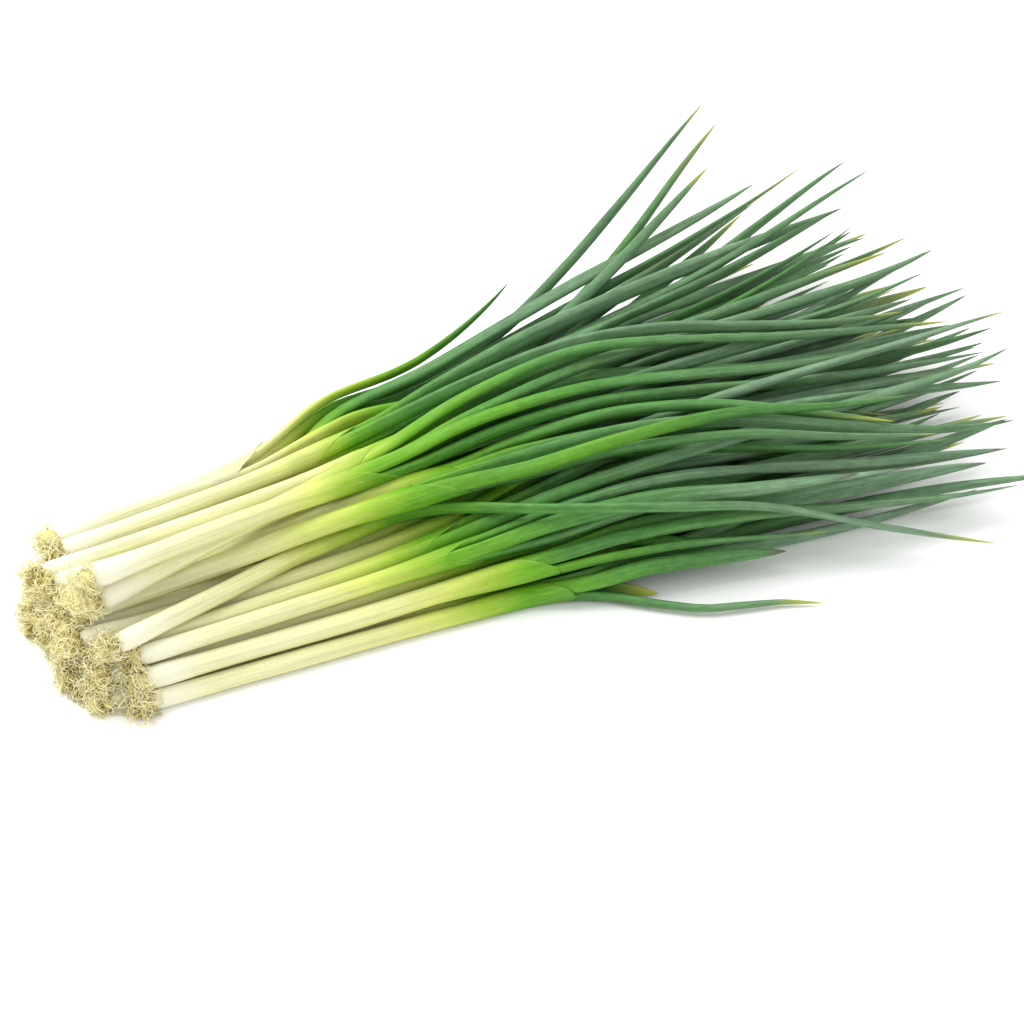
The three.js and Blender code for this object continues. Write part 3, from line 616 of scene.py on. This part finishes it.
def build_shank(flesh, onion, blades, early, drawn, rng):
    """The white shank, from its base plate to the slanted mouth of the sheath drawn round its leaves."""
    tongue = max(blades, key=lambda blade: blade.outward).angle
    past, share = zip(*BULB)
    swell = 1 + rng.uniform(*BULB_SWELL)
    stations = np.concatenate([
        np.linspace(past[0], PLATE_END, PLATE_RINGS),
        np.geomspace(BULB_START, BULB_END, BULB_RINGS),
        np.linspace(SHANK_START, onion.neck - onion.x, SHANK_RINGS),
    ])
    angle = circle(SHANK_SIDES)
    slant = (0.5 + 0.5 * np.cos(angle - tongue)) ** RIM_CURVE
    rim = lerp(RIM_SHORT, RIM_LONG, slant) + rng.uniform(-RIM_RAGGED, RIM_RAGGED, SHANK_SIDES)
    wave_length, wave_start = rng.uniform(*SHANK_WAVE_LENGTH), rng.uniform(*SHANK_WAVE_START)

    def ring_at(x, proud=SKIN_PROUD, part=1.0):
        """A ring with each side at its own x, and the ring's grain."""
        s = x - onion.x
        swollen = lerp(swell, 1, smooth((s - SWELL_START) / SWELL_FADE))
        base = np.interp(s, past, share) * swollen * onion.radius
        base *= 1 + SHANK_WAVE * np.sin(s / wave_length + wave_start) * smooth(s / SHANK_WAVE_FADE)
        centres = np.array([line_at(blade.leaf, x) for blade in blades])
        middle = centres.mean(0)
        outward = np.stack([np.cos(angle), np.sin(angle)], -1)
        reach = np.zeros((SHANK_SIDES, SHANK_SIDES))
        for blade, centre in zip(blades, centres):
            offset, thin, wide = blade.section(x)
            turn = angle - blade.angle
            across = np.hypot(thin[:, None] * np.cos(turn), wide[:, None] * np.sin(turn))
            reach = np.maximum(reach, (centre - middle + offset) @ outward.T + across)
        facing = np.cos(angle[:, None] - angle)
        hull = np.where(facing > FACING, reach / np.maximum(facing, FACING), np.inf).min(1)
        radius = lerp(base, hull, smooth((x - onion.neck + HULL_START) / HULL_LENGTH))
        radius = radius + proud * smooth(s / PROUD_FADE)
        y, z = radius * part * outward.T
        ahead, behind = (
            np.mean([line_at(blade.leaf, x + d) for blade in blades], 0) for d in (SLOPE_STEP, -SLOPE_STEP)
        )
        slope = (ahead - behind) / (2 * SLOPE_STEP)
        lean = y * slope[:, 0] + z * slope[:, 1]
        return np.stack([x - lean, middle[:, 0] + y, middle[:, 1] + z], -1), np.column_stack([x, y, z])

    made = [ring_at(np.full(SHANK_SIDES, onion.x + one)) for one in stations[:-1]]
    made += [ring_at(onion.neck + rim * part, SKIN_PROUD * (RIM_PROUD - slant * part)) for part in RIM_PARTS]
    made.append(ring_at(onion.neck + rim - LIP, SKIN_PROUD * (LIP_PROUD - slant)))
    made.append(ring_at(onion.neck + rim - RIM_DEPTH / 2, part=INSIDE[0]))
    made.append(ring_at(np.full(SHANK_SIDES, onion.neck - RIM_DEPTH), part=INSIDE[1]))
    rings, grain = (np.array(one) for one in zip(*made))
    places = grain[..., 0].copy()
    edge = np.zeros(rings.shape[:2])
    edge[RIM_RINGS] = np.outer(RIM_PALE, 1 - slant)
    # Painted shade: the groove share is highest low on a shank's sides and in the lower rows, where shade
    # falls between the shanks.
    groove = smooth(GROOVE_SHADE_START - grain[..., 2] / onion.radius) + GROOVE_SHADE_ROW * (len(ROWS) - 1 - onion.row)
    grain[..., 0] += drawn
    flesh.add(
        rings, rings[0].mean(0) - [PLATE_BULGE, 0, 0], rings[-1].mean(0), SKIN, grain,
        from_base=places - onion.x, past_neck=places - onion.neck + early,
        tone=SHANK_TONE + SHANK_TONE_UNEVEN * rng.random(), edge=edge, groove=np.minimum(groove, 1),
    )


def build_leaf(flesh, blade, bloom, early, drawn, rng):
    """One hollow leaf: it leaves the neck flattened against the others, rounds out and ends in a point."""
    leaf, onion = blade.leaf, blade.leaf.onion
    start, tip = onion.neck - LEAF_START, leaf.tip[0]
    free = min(onion.neck + PARTING, tip - TIP_LENGTH - LEAF_STEP)
    x = np.concatenate([
        np.linspace(start, free, PARTING_RINGS),
        np.linspace(free, tip - TIP_LENGTH, max(LEAST_RINGS, int((tip - TIP_LENGTH - free) / LEAF_STEP)))[1:],
        tip - TIP_LENGTH * np.linspace(1, TIP_END, TIP_RINGS)[1:] ** TIP_CROWD,
    ])
    offset, thin, wide = blade.section(x)
    middle = np.column_stack([x, line_at(leaf, x) + offset])
    parted, along = parted_at(leaf, x), along_at(leaf, x)
    tangent = unit(np.gradient(middle, axis=0))
    side = unit(np.cross([0, 0, 1.0], tangent))
    up = np.cross(tangent, side)
    roll = (blade.angle + blade.twist * along * parted)[:, None]
    angle = circle(LEAF_SIDES)
    thin_axis = np.cos(roll) * side + np.sin(roll) * up
    wide_axis = np.cos(roll) * up - np.sin(roll) * side
    dent = 1 - blade.groove * parted[:, None] * np.maximum(0, -np.cos(angle)) ** 3
    thinness, width = thin[:, None] * np.cos(angle) * dent, wide[:, None] * np.sin(angle)
    rings = middle[:, None] + thin_axis[:, None] * thinness[..., None] + wide_axis[:, None] * width[..., None]
    dark = rng.random() < DARK_TIPPED
    dry = rng.uniform(*(DARK_TIP if dark else YELLOW_TIP))
    grain = np.stack([np.broadcast_to(x[:, None], width.shape), thinness, width], -1)
    grain = grain + np.stack([drawn + blade.drawn * parted, 0 * x, 0 * x], -1)[:, None]
    past = (x - onion.neck) * (1 - blade.fresh * smooth((x - onion.neck) / PARTING))
    shifted = past + early * (1 - CAUGHT_UP * smooth((x - onion.neck) / CAUGHT_UP_LENGTH))
    shifted += EARLY_LEAF * blade.early * smooth((x - start) / EARLY_LENGTH)
    flesh.add(
        rings, middle[0], middle[-1] + tangent[-1] * TIP_POINT, SKIN, grain,
        from_base=(x - onion.x)[:, None], past_neck=shifted[:, None], along=along[:, None],
        bloom=(bloom * (1 - blade.fresh) * parted)[:, None],
        tone=rng.uniform(*(DARK_TONE if dark else YELLOW_TONE)), dry=smooth(1 - (tip - x) / dry)[:, None],
    )


def strand(flesh, points, thick, tone):
    """One root: a thin tapering tube along the points."""
    points = points.copy()
    low = thick.max() + 2 * TABLE_GAP
    lifted = low + ROOT_LIFT * np.abs(points[:, 2] - low) % ROOT_LIFT_MOST
    points[:, 2] = np.where(points[:, 2] < low, lifted, points[:, 2])
    tangent = unit(np.gradient(points, axis=0))
    side = unit(np.cross(OFF_AXIS, tangent))
    up = np.cross(tangent, side)
    angle = circle(ROOT_SIDES)
    ring = side[:, None] * np.cos(angle)[:, None] + up[:, None] * np.sin(angle)[:, None]
    rings = points[:, None] + ring * thick[:, None, None]
    along = np.linspace(0, 1, len(points))[:, None]
    end = points[-1] + tangent[-1] * thick[-1]
    flesh.add(rings, points[0], end, ROOT, rings.copy(), along=along, tone=tone)


def curled(start, heading, length, steps, middle, rng):
    """Points along a curly root that tends back to the middle of its tuft."""
    axis = unit(rng.normal(0, 1, 3))
    points = [start]
    for _ in range(steps):
        axis = unit(axis + rng.normal(0, ROOT_WANDER, 3))
        bend = np.cross(axis, heading) * rng.uniform(*ROOT_BEND)
        heading = unit(heading + bend + ROOT_DRAWN * (middle - points[-1]))
        points.append(points[-1] + heading * length / steps)
    return np.array(points)


def build_roots(flesh, onion, rng):
    """The tuft of fine curly roots under the base plate, matted at its heart, with a few long wisps."""
    base = np.array([onion.x, *line_at(onion.leaves[0], np.array([onion.x]))[0]])
    length = rng.uniform(*CLUMP_LENGTH)
    angle, s = circle(CLUMP_SIDES), np.linspace(0, 1, CLUMP_RINGS)
    lumps = 1 + CLUMP_LUMPS * rng.normal(0, 1, (len(s), CLUMP_SIDES)).clip(-2, 2)
    shape = CLUMP_RADIUS + CLUMP_BULGE * np.sin(math.pi * s) - CLUMP_CLOSES * s**3
    radius = onion.radius * shape[:, None] * lumps
    places = np.broadcast_to((CLUMP_SUNK - length * s)[:, None], radius.shape)
    rings = np.stack([places, radius * np.cos(angle), radius * np.sin(angle)], -1) + base
    end = rings[-1].mean(0) - [CLUMP_SUNK, 0, 0]
    flesh.add(rings, rings[0].mean(0), end, ROOT, rings.copy(), tone=CLUMP_TONE * rng.random())
    middle = base - [length * CLUMP_HEART, 0, 0]
    leaning = max(0, 1 - onion.across / LEANING_ACROSS) if onion.row < LEANING_ROWS else 0
    # On some onions the roots below a tone are darkened.
    darkened = rng.random() < DARK_ROOTED
    for number in range(rng.integers(*ROOT_COUNT)):
        wisp = number < WISP_COUNT
        turn, out = rng.uniform(0, 2 * math.pi), onion.radius * math.sqrt(rng.uniform(*ROOT_OUT))
        aside = np.array([0, math.cos(turn), math.sin(turn)])
        down = rng.uniform(0, length) * (out > OUTER_ROOT * onion.radius)
        start = base + out * aside + [ROOT_SUNK - down, 0, 0]
        splay = rng.uniform(*ROOT_SPLAY) * (LEAST_SPLAY + out / onion.radius)
        heading = unit([-1.0, -ROOT_LEAN * leaning, -ROOT_DROOP] + splay * aside)
        steps = WISP_STEPS if wisp else ROOT_STEPS
        reach = rng.uniform(*(WISP_REACH if wisp else ROOT_REACH)) * (1 + ROOT_SPREAD * leaning)
        points = curled(start, heading, reach, steps, middle, rng)
        thins = ROOT_THICKEST - ROOT_THINS * np.linspace(0, 1, steps + 1)
        thick = rng.uniform(*(WISP_THICK if wisp else ROOT_THICK)) * thins
        tone = rng.uniform(*ROOT_TONE)
        strand(flesh, points, thick, 0 if wisp or (darkened and tone < DARK_ROOT_TONE) else tone)


def build_onion(number, onion, shift, materials):
    """One onion as one piece: its shank, its leaves and its roots."""
    rng = np.random.default_rng(ONION_SEED + number)
    blades = [Blade(leaf, rng) for leaf in onion.leaves]
    early, drawn = rng.uniform(*EARLY_ONION), rng.uniform(*GRAIN_START)
    # Partly painted light: the back onions and the bulge are painted paler, where light falls on them from
    # behind.
    early += EARLY_BULGE_LIT if onion.bulge else lerp(EARLY_FRONT, EARLY_BACK_LIT, onion.across)
    flesh = Flesh()
    build_shank(flesh, onion, blades, early - SHANK_LATER, drawn, rng)
    for blade in blades:
        front = np.clip((FRONT_Y - blade.leaf.tip[1]) / FRONT_REACH, -1, 1)
        bloom = np.clip(rng.normal(BLOOM_MEAN + BLOOM_FRONT * front, BLOOM_UNEVEN), 0, 1)
        build_leaf(flesh, blade, bloom, early, drawn, rng)
    build_roots(flesh, onion, rng)
    name = f"onion_{number:02d}"
    piece = flesh.piece(f"spring_{name}", shift, materials)
    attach(piece, "root")
    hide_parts(name)


# ---- materials ----


class Nodes:
    """Short ways to add and join the nodes of one material."""

    def __init__(self, name):
        self.material = bpy.data.materials.new(name)
        self.material.use_nodes = True
        self.tree = self.material.node_tree
        self.shader = self.tree.nodes["Principled BSDF"]

    def put(self, socket, value):
        if isinstance(value, bpy.types.NodeSocket):
            self.tree.links.new(value, socket)
        else:
            socket.default_value = value

    def set(self, **inputs):
        for name, value in inputs.items():
            self.put(self.shader.inputs[name.replace("_", " ")], value)

    def carried(self, name, vector=False):
        node = self.tree.nodes.new("ShaderNodeAttribute")
        node.attribute_name = name
        return node.outputs["Vector" if vector else "Fac"]

    def maths(self, operation, *values, clamp=False):
        node = self.tree.nodes.new("ShaderNodeMath")
        node.operation = operation
        node.use_clamp = clamp
        for socket, value in zip(node.inputs, values):
            self.put(socket, value)
        return node.outputs[0]

    def times(self, one, two):
        return self.maths("MULTIPLY", one, two)

    def span(self, value, low, high, out_low=0.0, out_high=1.0):
        node = self.tree.nodes.new("ShaderNodeMapRange")
        node.interpolation_type = "SMOOTHSTEP"
        given = (value, low, high, out_low, out_high)
        for name, one in zip(("Value", "From Min", "From Max", "To Min", "To Max"), given):
            self.put(node.inputs[name], one)
        return node.outputs[0]

    def ramp(self, value, stops):
        """A colour ramp through (place, colour) stops in order."""
        node = self.tree.nodes.new("ShaderNodeValToRGB")
        elements = node.color_ramp.elements
        elements[0].position, elements[1].position = stops[0][0], stops[-1][0]
        for place, _ in stops[1:-1]:
            elements.new(place)
        for element, (_, colour) in zip(elements, stops):
            element.color = (*colour, 1)
        self.put(node.inputs[0], value)
        return node.outputs[0]

    def noise(self, vector, scale, detail=3.0, roughness=0.5):
        node = self.tree.nodes.new("ShaderNodeTexNoise")
        given = {"Vector": vector, "Scale": scale, "Detail": detail, "Roughness": roughness}
        for name, value in given.items():
            self.put(node.inputs[name], value)
        return node.outputs["Fac"]

    def stretched(self, vector, scale):
        node = self.tree.nodes.new("ShaderNodeVectorMath")
        node.operation = "MULTIPLY"
        self.put(node.inputs[0], vector)
        node.inputs[1].default_value = scale
        return node.outputs[0]

    def blend(self, share, one, two, kind="MIX"):
        node = self.tree.nodes.new("ShaderNodeMix")
        node.data_type = "RGBA"
        node.blend_type = kind
        self.put(node.inputs[0], share)
        for socket, colour in ((node.inputs[6], one), (node.inputs[7], two)):
            self.put(socket, (*colour, 1) if isinstance(colour, tuple) else colour)
        return node.outputs[2]

    def bump(self, height, depth, strength):
        node = self.tree.nodes.new("ShaderNodeBump")
        for name, value in {"Height": height, "Distance": depth, "Strength": strength}.items():
            self.put(node.inputs[name], value)
        return node.outputs[0]


WHITE = (0.84, 0.825, 0.66)
IVORY = (0.82, 0.805, 0.53)
CREAM = (0.73, 0.735, 0.35)
STRAW = (0.62, 0.7, 0.15)
LIME = (0.34, 0.52, 0.04)
GRASS = (0.13, 0.37, 0.008)
GREEN = (0.07, 0.22, 0.039)
DEEP_GREEN = (0.084, 0.192, 0.071)
BLOOM = (0.222, 0.328, 0.23)
SHEATH_EDGE = (0.72, 0.8, 0.22)
YELLOWED = (0.42, 0.44, 0.07)
WITHERED = (0.11, 0.085, 0.07)
PLATE = (0.5, 0.42, 0.2)
VEIN = (0.62, 0.68, 0.24)
# The yellow olive of painted shade in the grooves between the shanks.
PAINTED_GROOVE_SHADE = (0.7, 0.69, 0.22)
# The colour along an onion, by millimetres past its neck.
RAMP_START, RAMP_LENGTH = -150.0, 400.0
ALONG = [
    (-150, IVORY), (-90, IVORY), (-36, CREAM), (-10, STRAW),
    (8, LIME), (28, GRASS), (70, GREEN), (170, DEEP_GREEN),
]
SPECK = (0.5, 0.6, 0.45)
# Scales of the noises in the skin's grain, per millimetre along an onion and across it.
PATCHES, STREAKS, VEINS = (0.02, 0.12, 0.12), (0.012, 0.75, 0.75), (0.03, 2.2, 2.2)
FINE, SPECKS, MOTTLE = (0.3, 3.0, 3.0), (0.5, 0.9, 0.9), (0.11, 0.34, 0.34)
PATCH_SHIFT, STREAK_SHIFT = 30.0, 26.0  # by how many millimetres they shift the colour
# How a noise lightens the skin: between which values, and by what shares on shanks and on leaves.
STREAKS_LIGHT = (0.32, 0.68), (0.84, 1.05), (0.82, 1.16)
MOTTLE_LIGHT = (0.3, 0.7), (0.97, 1.03), (0.84, 1.18)
FINE_LIGHT = (0.3, 0.7), (0.95, 1.03), (0.92, 1.07)
# From where to where past the neck each comes in, or past the base where it says so.
GREEN_OVER, BLOOM_OVER, VEINS_OVER, GROOVE_SHADE_OVER = (10.0, 70.0), (50.0, 190.0), (75.0, -25.0), (10.0, -30.0)
WHITE_OVER_BASE, PLATE_OVER_BASE = (34.0, 4.0), (2.2, 0.6)
SOFT_SKIN = (20.0, -20.0, 0.05, 0.5)  # and how soft the skin is at both
# Between which values of a noise, a tone or the way along each shows, and for some how much.
BLOOM_CLOUDS, VEINS_SHOWN = (0.5, 1.0, 0.55, 1.0), (0.52, 0.68, 0.0, 0.45)
SPECKS_SHOWN, SPECKED_VEINS = (0.72, 0.76), (0.5, 0.6)
YELLOW_TONES, YELLOW_ALONG = (0.6, 1.0, 0.0, 0.6), (0.82, 1.0)
DRY_SHOWN, DRY_TONES, SKIN_ROUGHNESS = (0.2, 0.5, 0.7, 1.0), (0.45, 0.55), (0.3, 0.7, 0.42, 0.58)
BLOOM_SHARE, GROOVE_SHADE_SHARE, EDGE_SHARE, PLATE_SHARE = 0.8, 0.4, 0.4, 0.8
CLOUD_STREAKS, PLATE_UNEVEN = 0.5, 2.0
VEIN_HEIGHT, FINE_HEIGHT, SKIN_DEPTH, SKIN_BUMP = 0.7, 0.3, 0.0002, 0.55


def skin_material():
    """The plant's skin: ivory shank, straw and lime neck, waxy deep green leaf with a withered tip."""
    n = Nodes("spring_onion_skin")
    grain = n.carried("grain", vector=True)
    past, tone, along = n.carried("past_neck"), n.carried("tone"), n.carried("along")
    patches = n.noise(n.stretched(grain, PATCHES), 1.0, 2.0)
    streaks = n.noise(n.stretched(grain, STREAKS), 1.0, 3.0, 0.55)
    veins = n.noise(n.stretched(grain, VEINS), 1.0, 4.0, 0.6)
    fine = n.noise(n.stretched(grain, FINE), 1.0, 3.0, 0.6)
    specks = n.noise(n.stretched(grain, SPECKS), 1.0, 2.0)
    mottle = n.noise(n.stretched(grain, MOTTLE), 1.0, 5.0, 0.7)
    green = n.span(past, *GREEN_OVER)

    def shifted(value, noise, reach):
        return n.maths("ADD", value, n.times(n.maths("SUBTRACT", noise, 0.5), reach))

    def lightened(colour, noise, limits, shank, leaf):
        light = n.blend(green, n.span(noise, *limits, *shank), n.span(noise, *limits, *leaf))
        return n.blend(1.0, colour, light, "MULTIPLY")

    place = shifted(shifted(past, patches, PATCH_SHIFT), streaks, STREAK_SHIFT)
    place = n.maths("DIVIDE", n.maths("SUBTRACT", place, RAMP_START), RAMP_LENGTH, clamp=True)
    colour = n.ramp(place, [((at - RAMP_START) / RAMP_LENGTH, one) for at, one in ALONG])
    clouds = n.maths("ADD", patches, n.times(streaks, CLOUD_STREAKS))
    bloomed = n.times(n.carried("bloom"), n.span(past, *BLOOM_OVER))
    bloomed = n.times(bloomed, n.span(clouds, *BLOOM_CLOUDS))
    colour = n.blend(n.times(bloomed, BLOOM_SHARE), colour, BLOOM)
    colour = lightened(colour, streaks, *STREAKS_LIGHT)
    colour = lightened(colour, mottle, *MOTTLE_LIGHT)
    colour = lightened(colour, fine, *FINE_LIGHT)
    veined = n.times(n.span(veins, *VEINS_SHOWN), n.span(past, *VEINS_OVER))
    colour = n.blend(veined, colour, VEIN)
    # Painted shade in the grooves between the shanks, low on their sides and in the lower rows.
    groove = n.times(n.carried("groove"), GROOVE_SHADE_SHARE)
    colour = n.blend(n.times(groove, n.span(past, *GROOVE_SHADE_OVER)), colour, PAINTED_GROOVE_SHADE)
    specked = n.times(n.span(specks, *SPECKS_SHOWN), n.span(veins, *SPECKED_VEINS))
    colour = n.blend(n.times(specked, green), colour, SPECK)
    yellow = n.times(n.span(tone, *YELLOW_TONES), n.span(along, *YELLOW_ALONG))
    colour = n.blend(yellow, colour, YELLOWED)
    dry = n.times(n.carried("dry"), n.span(fine, *DRY_SHOWN))
    colour = n.blend(dry, colour, n.blend(n.span(tone, *DRY_TONES), WITHERED, YELLOWED))
    colour = n.blend(n.times(n.carried("edge"), EDGE_SHARE), colour, SHEATH_EDGE)
    from_base = n.carried("from_base")
    colour = n.blend(n.span(from_base, *WHITE_OVER_BASE), colour, WHITE)
    plate = n.span(n.maths("ADD", from_base, n.times(patches, PLATE_UNEVEN)), *PLATE_OVER_BASE)
    colour = n.blend(n.times(plate, PLATE_SHARE), colour, PLATE)
    height = n.maths("ADD", n.times(veins, VEIN_HEIGHT), n.times(fine, FINE_HEIGHT))
    n.set(
        Base_Color=colour, Normal=n.bump(height, SKIN_DEPTH, SKIN_BUMP),
        Roughness=n.span(fine, *SKIN_ROUGHNESS),
        Specular_IOR_Level=0.22, Coat_Weight=0.03, Coat_Roughness=0.4,
        Subsurface_Weight=n.span(past, *SOFT_SKIN), Subsurface_Radius=(0.004, 0.0036, 0.001),
        Subsurface_Scale=0.6,
    )
    return n.material


ROOT_TONES = [
    (0.0, (0.25, 0.205, 0.055)), (0.25, (0.74, 0.65, 0.25)),
    (0.6, (0.92, 0.85, 0.45)), (1.0, (0.97, 0.93, 0.62)),
]
# A root's place among them: shares of its tone and of fine spots, then shifts by wide patches and along it.
SPOTS_SCALE, WIDE_SCALE, TONE_SHARE, SPOTS_SHARE = 1.3, 0.09, 0.62, 0.35
WIDE_SHIFT, ALONG_SHIFT = (0.35, 0.7, 0.3, -0.12), (0.0, 0.4, -0.16, 0.04)
ROOT_DEPTH, ROOT_BUMP = 0.0002, 0.5


def root_material():
    """Dry fibrous roots: straw to olive brown, darkest at the heart of the tuft."""
    n = Nodes("spring_onion_root")
    grain = n.carried("grain", vector=True)
    spots = n.noise(grain, SPOTS_SCALE, 3.0)
    wide = n.noise(grain, WIDE_SCALE, 2.0)
    own = n.times(n.carried("tone"), TONE_SHARE)
    place = n.maths("ADD", own, n.times(spots, SPOTS_SHARE))
    place = n.maths("ADD", place, n.span(wide, *WIDE_SHIFT))
    place = n.maths("ADD", place, n.span(n.carried("along"), *ALONG_SHIFT), clamp=True)
    n.set(Base_Color=n.ramp(place, ROOT_TONES), Roughness=0.75, Normal=n.bump(spots, ROOT_DEPTH, ROOT_BUMP))
    return n.material


def floor_material():
    n = Nodes("floor")
    n.set(Base_Color=(*FLOOR, 1), Roughness=0.6)
    return n.material


# ---- stage, light and camera ----

AZIMUTH, ELEVATION = -27, 38
CAMERA_AT = (-220, -792.6, 739.9)  # in millimetres, in the frame that the bunch is laid in
LENS = 85
FLOOR, FLOOR_SIZE = (0.96, 0.96, 0.955), 12
SKY = 0.87
# Lights: place and size in metres, and power in watts.
SOFTBOX = (-0.55, 0.75, 1.5), 1.5, 33
FILL = (0.3, -1.3, 1.2), 1.8, 4


def set_stage(shift):
    scene = bpy.context.scene
    bpy.ops.mesh.primitive_plane_add(size=FLOOR_SIZE, location=(0, 0, 0))
    floor = bpy.context.object
    floor.name = "floor"
    floor.data.materials.append(floor_material())
    world = bpy.data.worlds.new("studio")
    world.use_nodes = True
    sky = world.node_tree.nodes["Background"].inputs
    sky["Color"].default_value = (1, 1, 1, 1)
    sky["Strength"].default_value = SKY
    scene.world = world
    add_light("softbox", *SOFTBOX)
    add_light("fill", *FILL)
    data = bpy.data.cameras.new("camera")
    data.lens = LENS
    camera = bpy.data.objects.new("camera", data)
    camera.location = (CAMERA_AT + shift) * MM
    camera.rotation_euler = (math.radians(90 - ELEVATION), 0, math.radians(AZIMUTH))
    scene.collection.objects.link(camera)
    scene.camera = camera
    scene.view_settings.view_transform = "Standard"


def add_light(name, place, size, power):
    """A square area light at the place, facing the middle of the stage."""
    data = bpy.data.lights.new(name, "AREA")
    data.size = size
    data.energy = power
    lamp = bpy.data.objects.new(name, data)
    lamp.location = place
    x, y, z = place
    lamp.rotation_euler = (math.atan2(math.hypot(x, y), z), 0, math.atan2(-y, -x) - math.pi / 2)
    bpy.context.scene.collection.objects.link(lamp)


onions, shift = lay_bunch()
materials = [skin_material(), root_material()]
for number, onion in enumerate(onions, 1):
    build_onion(number, onion, shift, materials)
set_stage(shift)
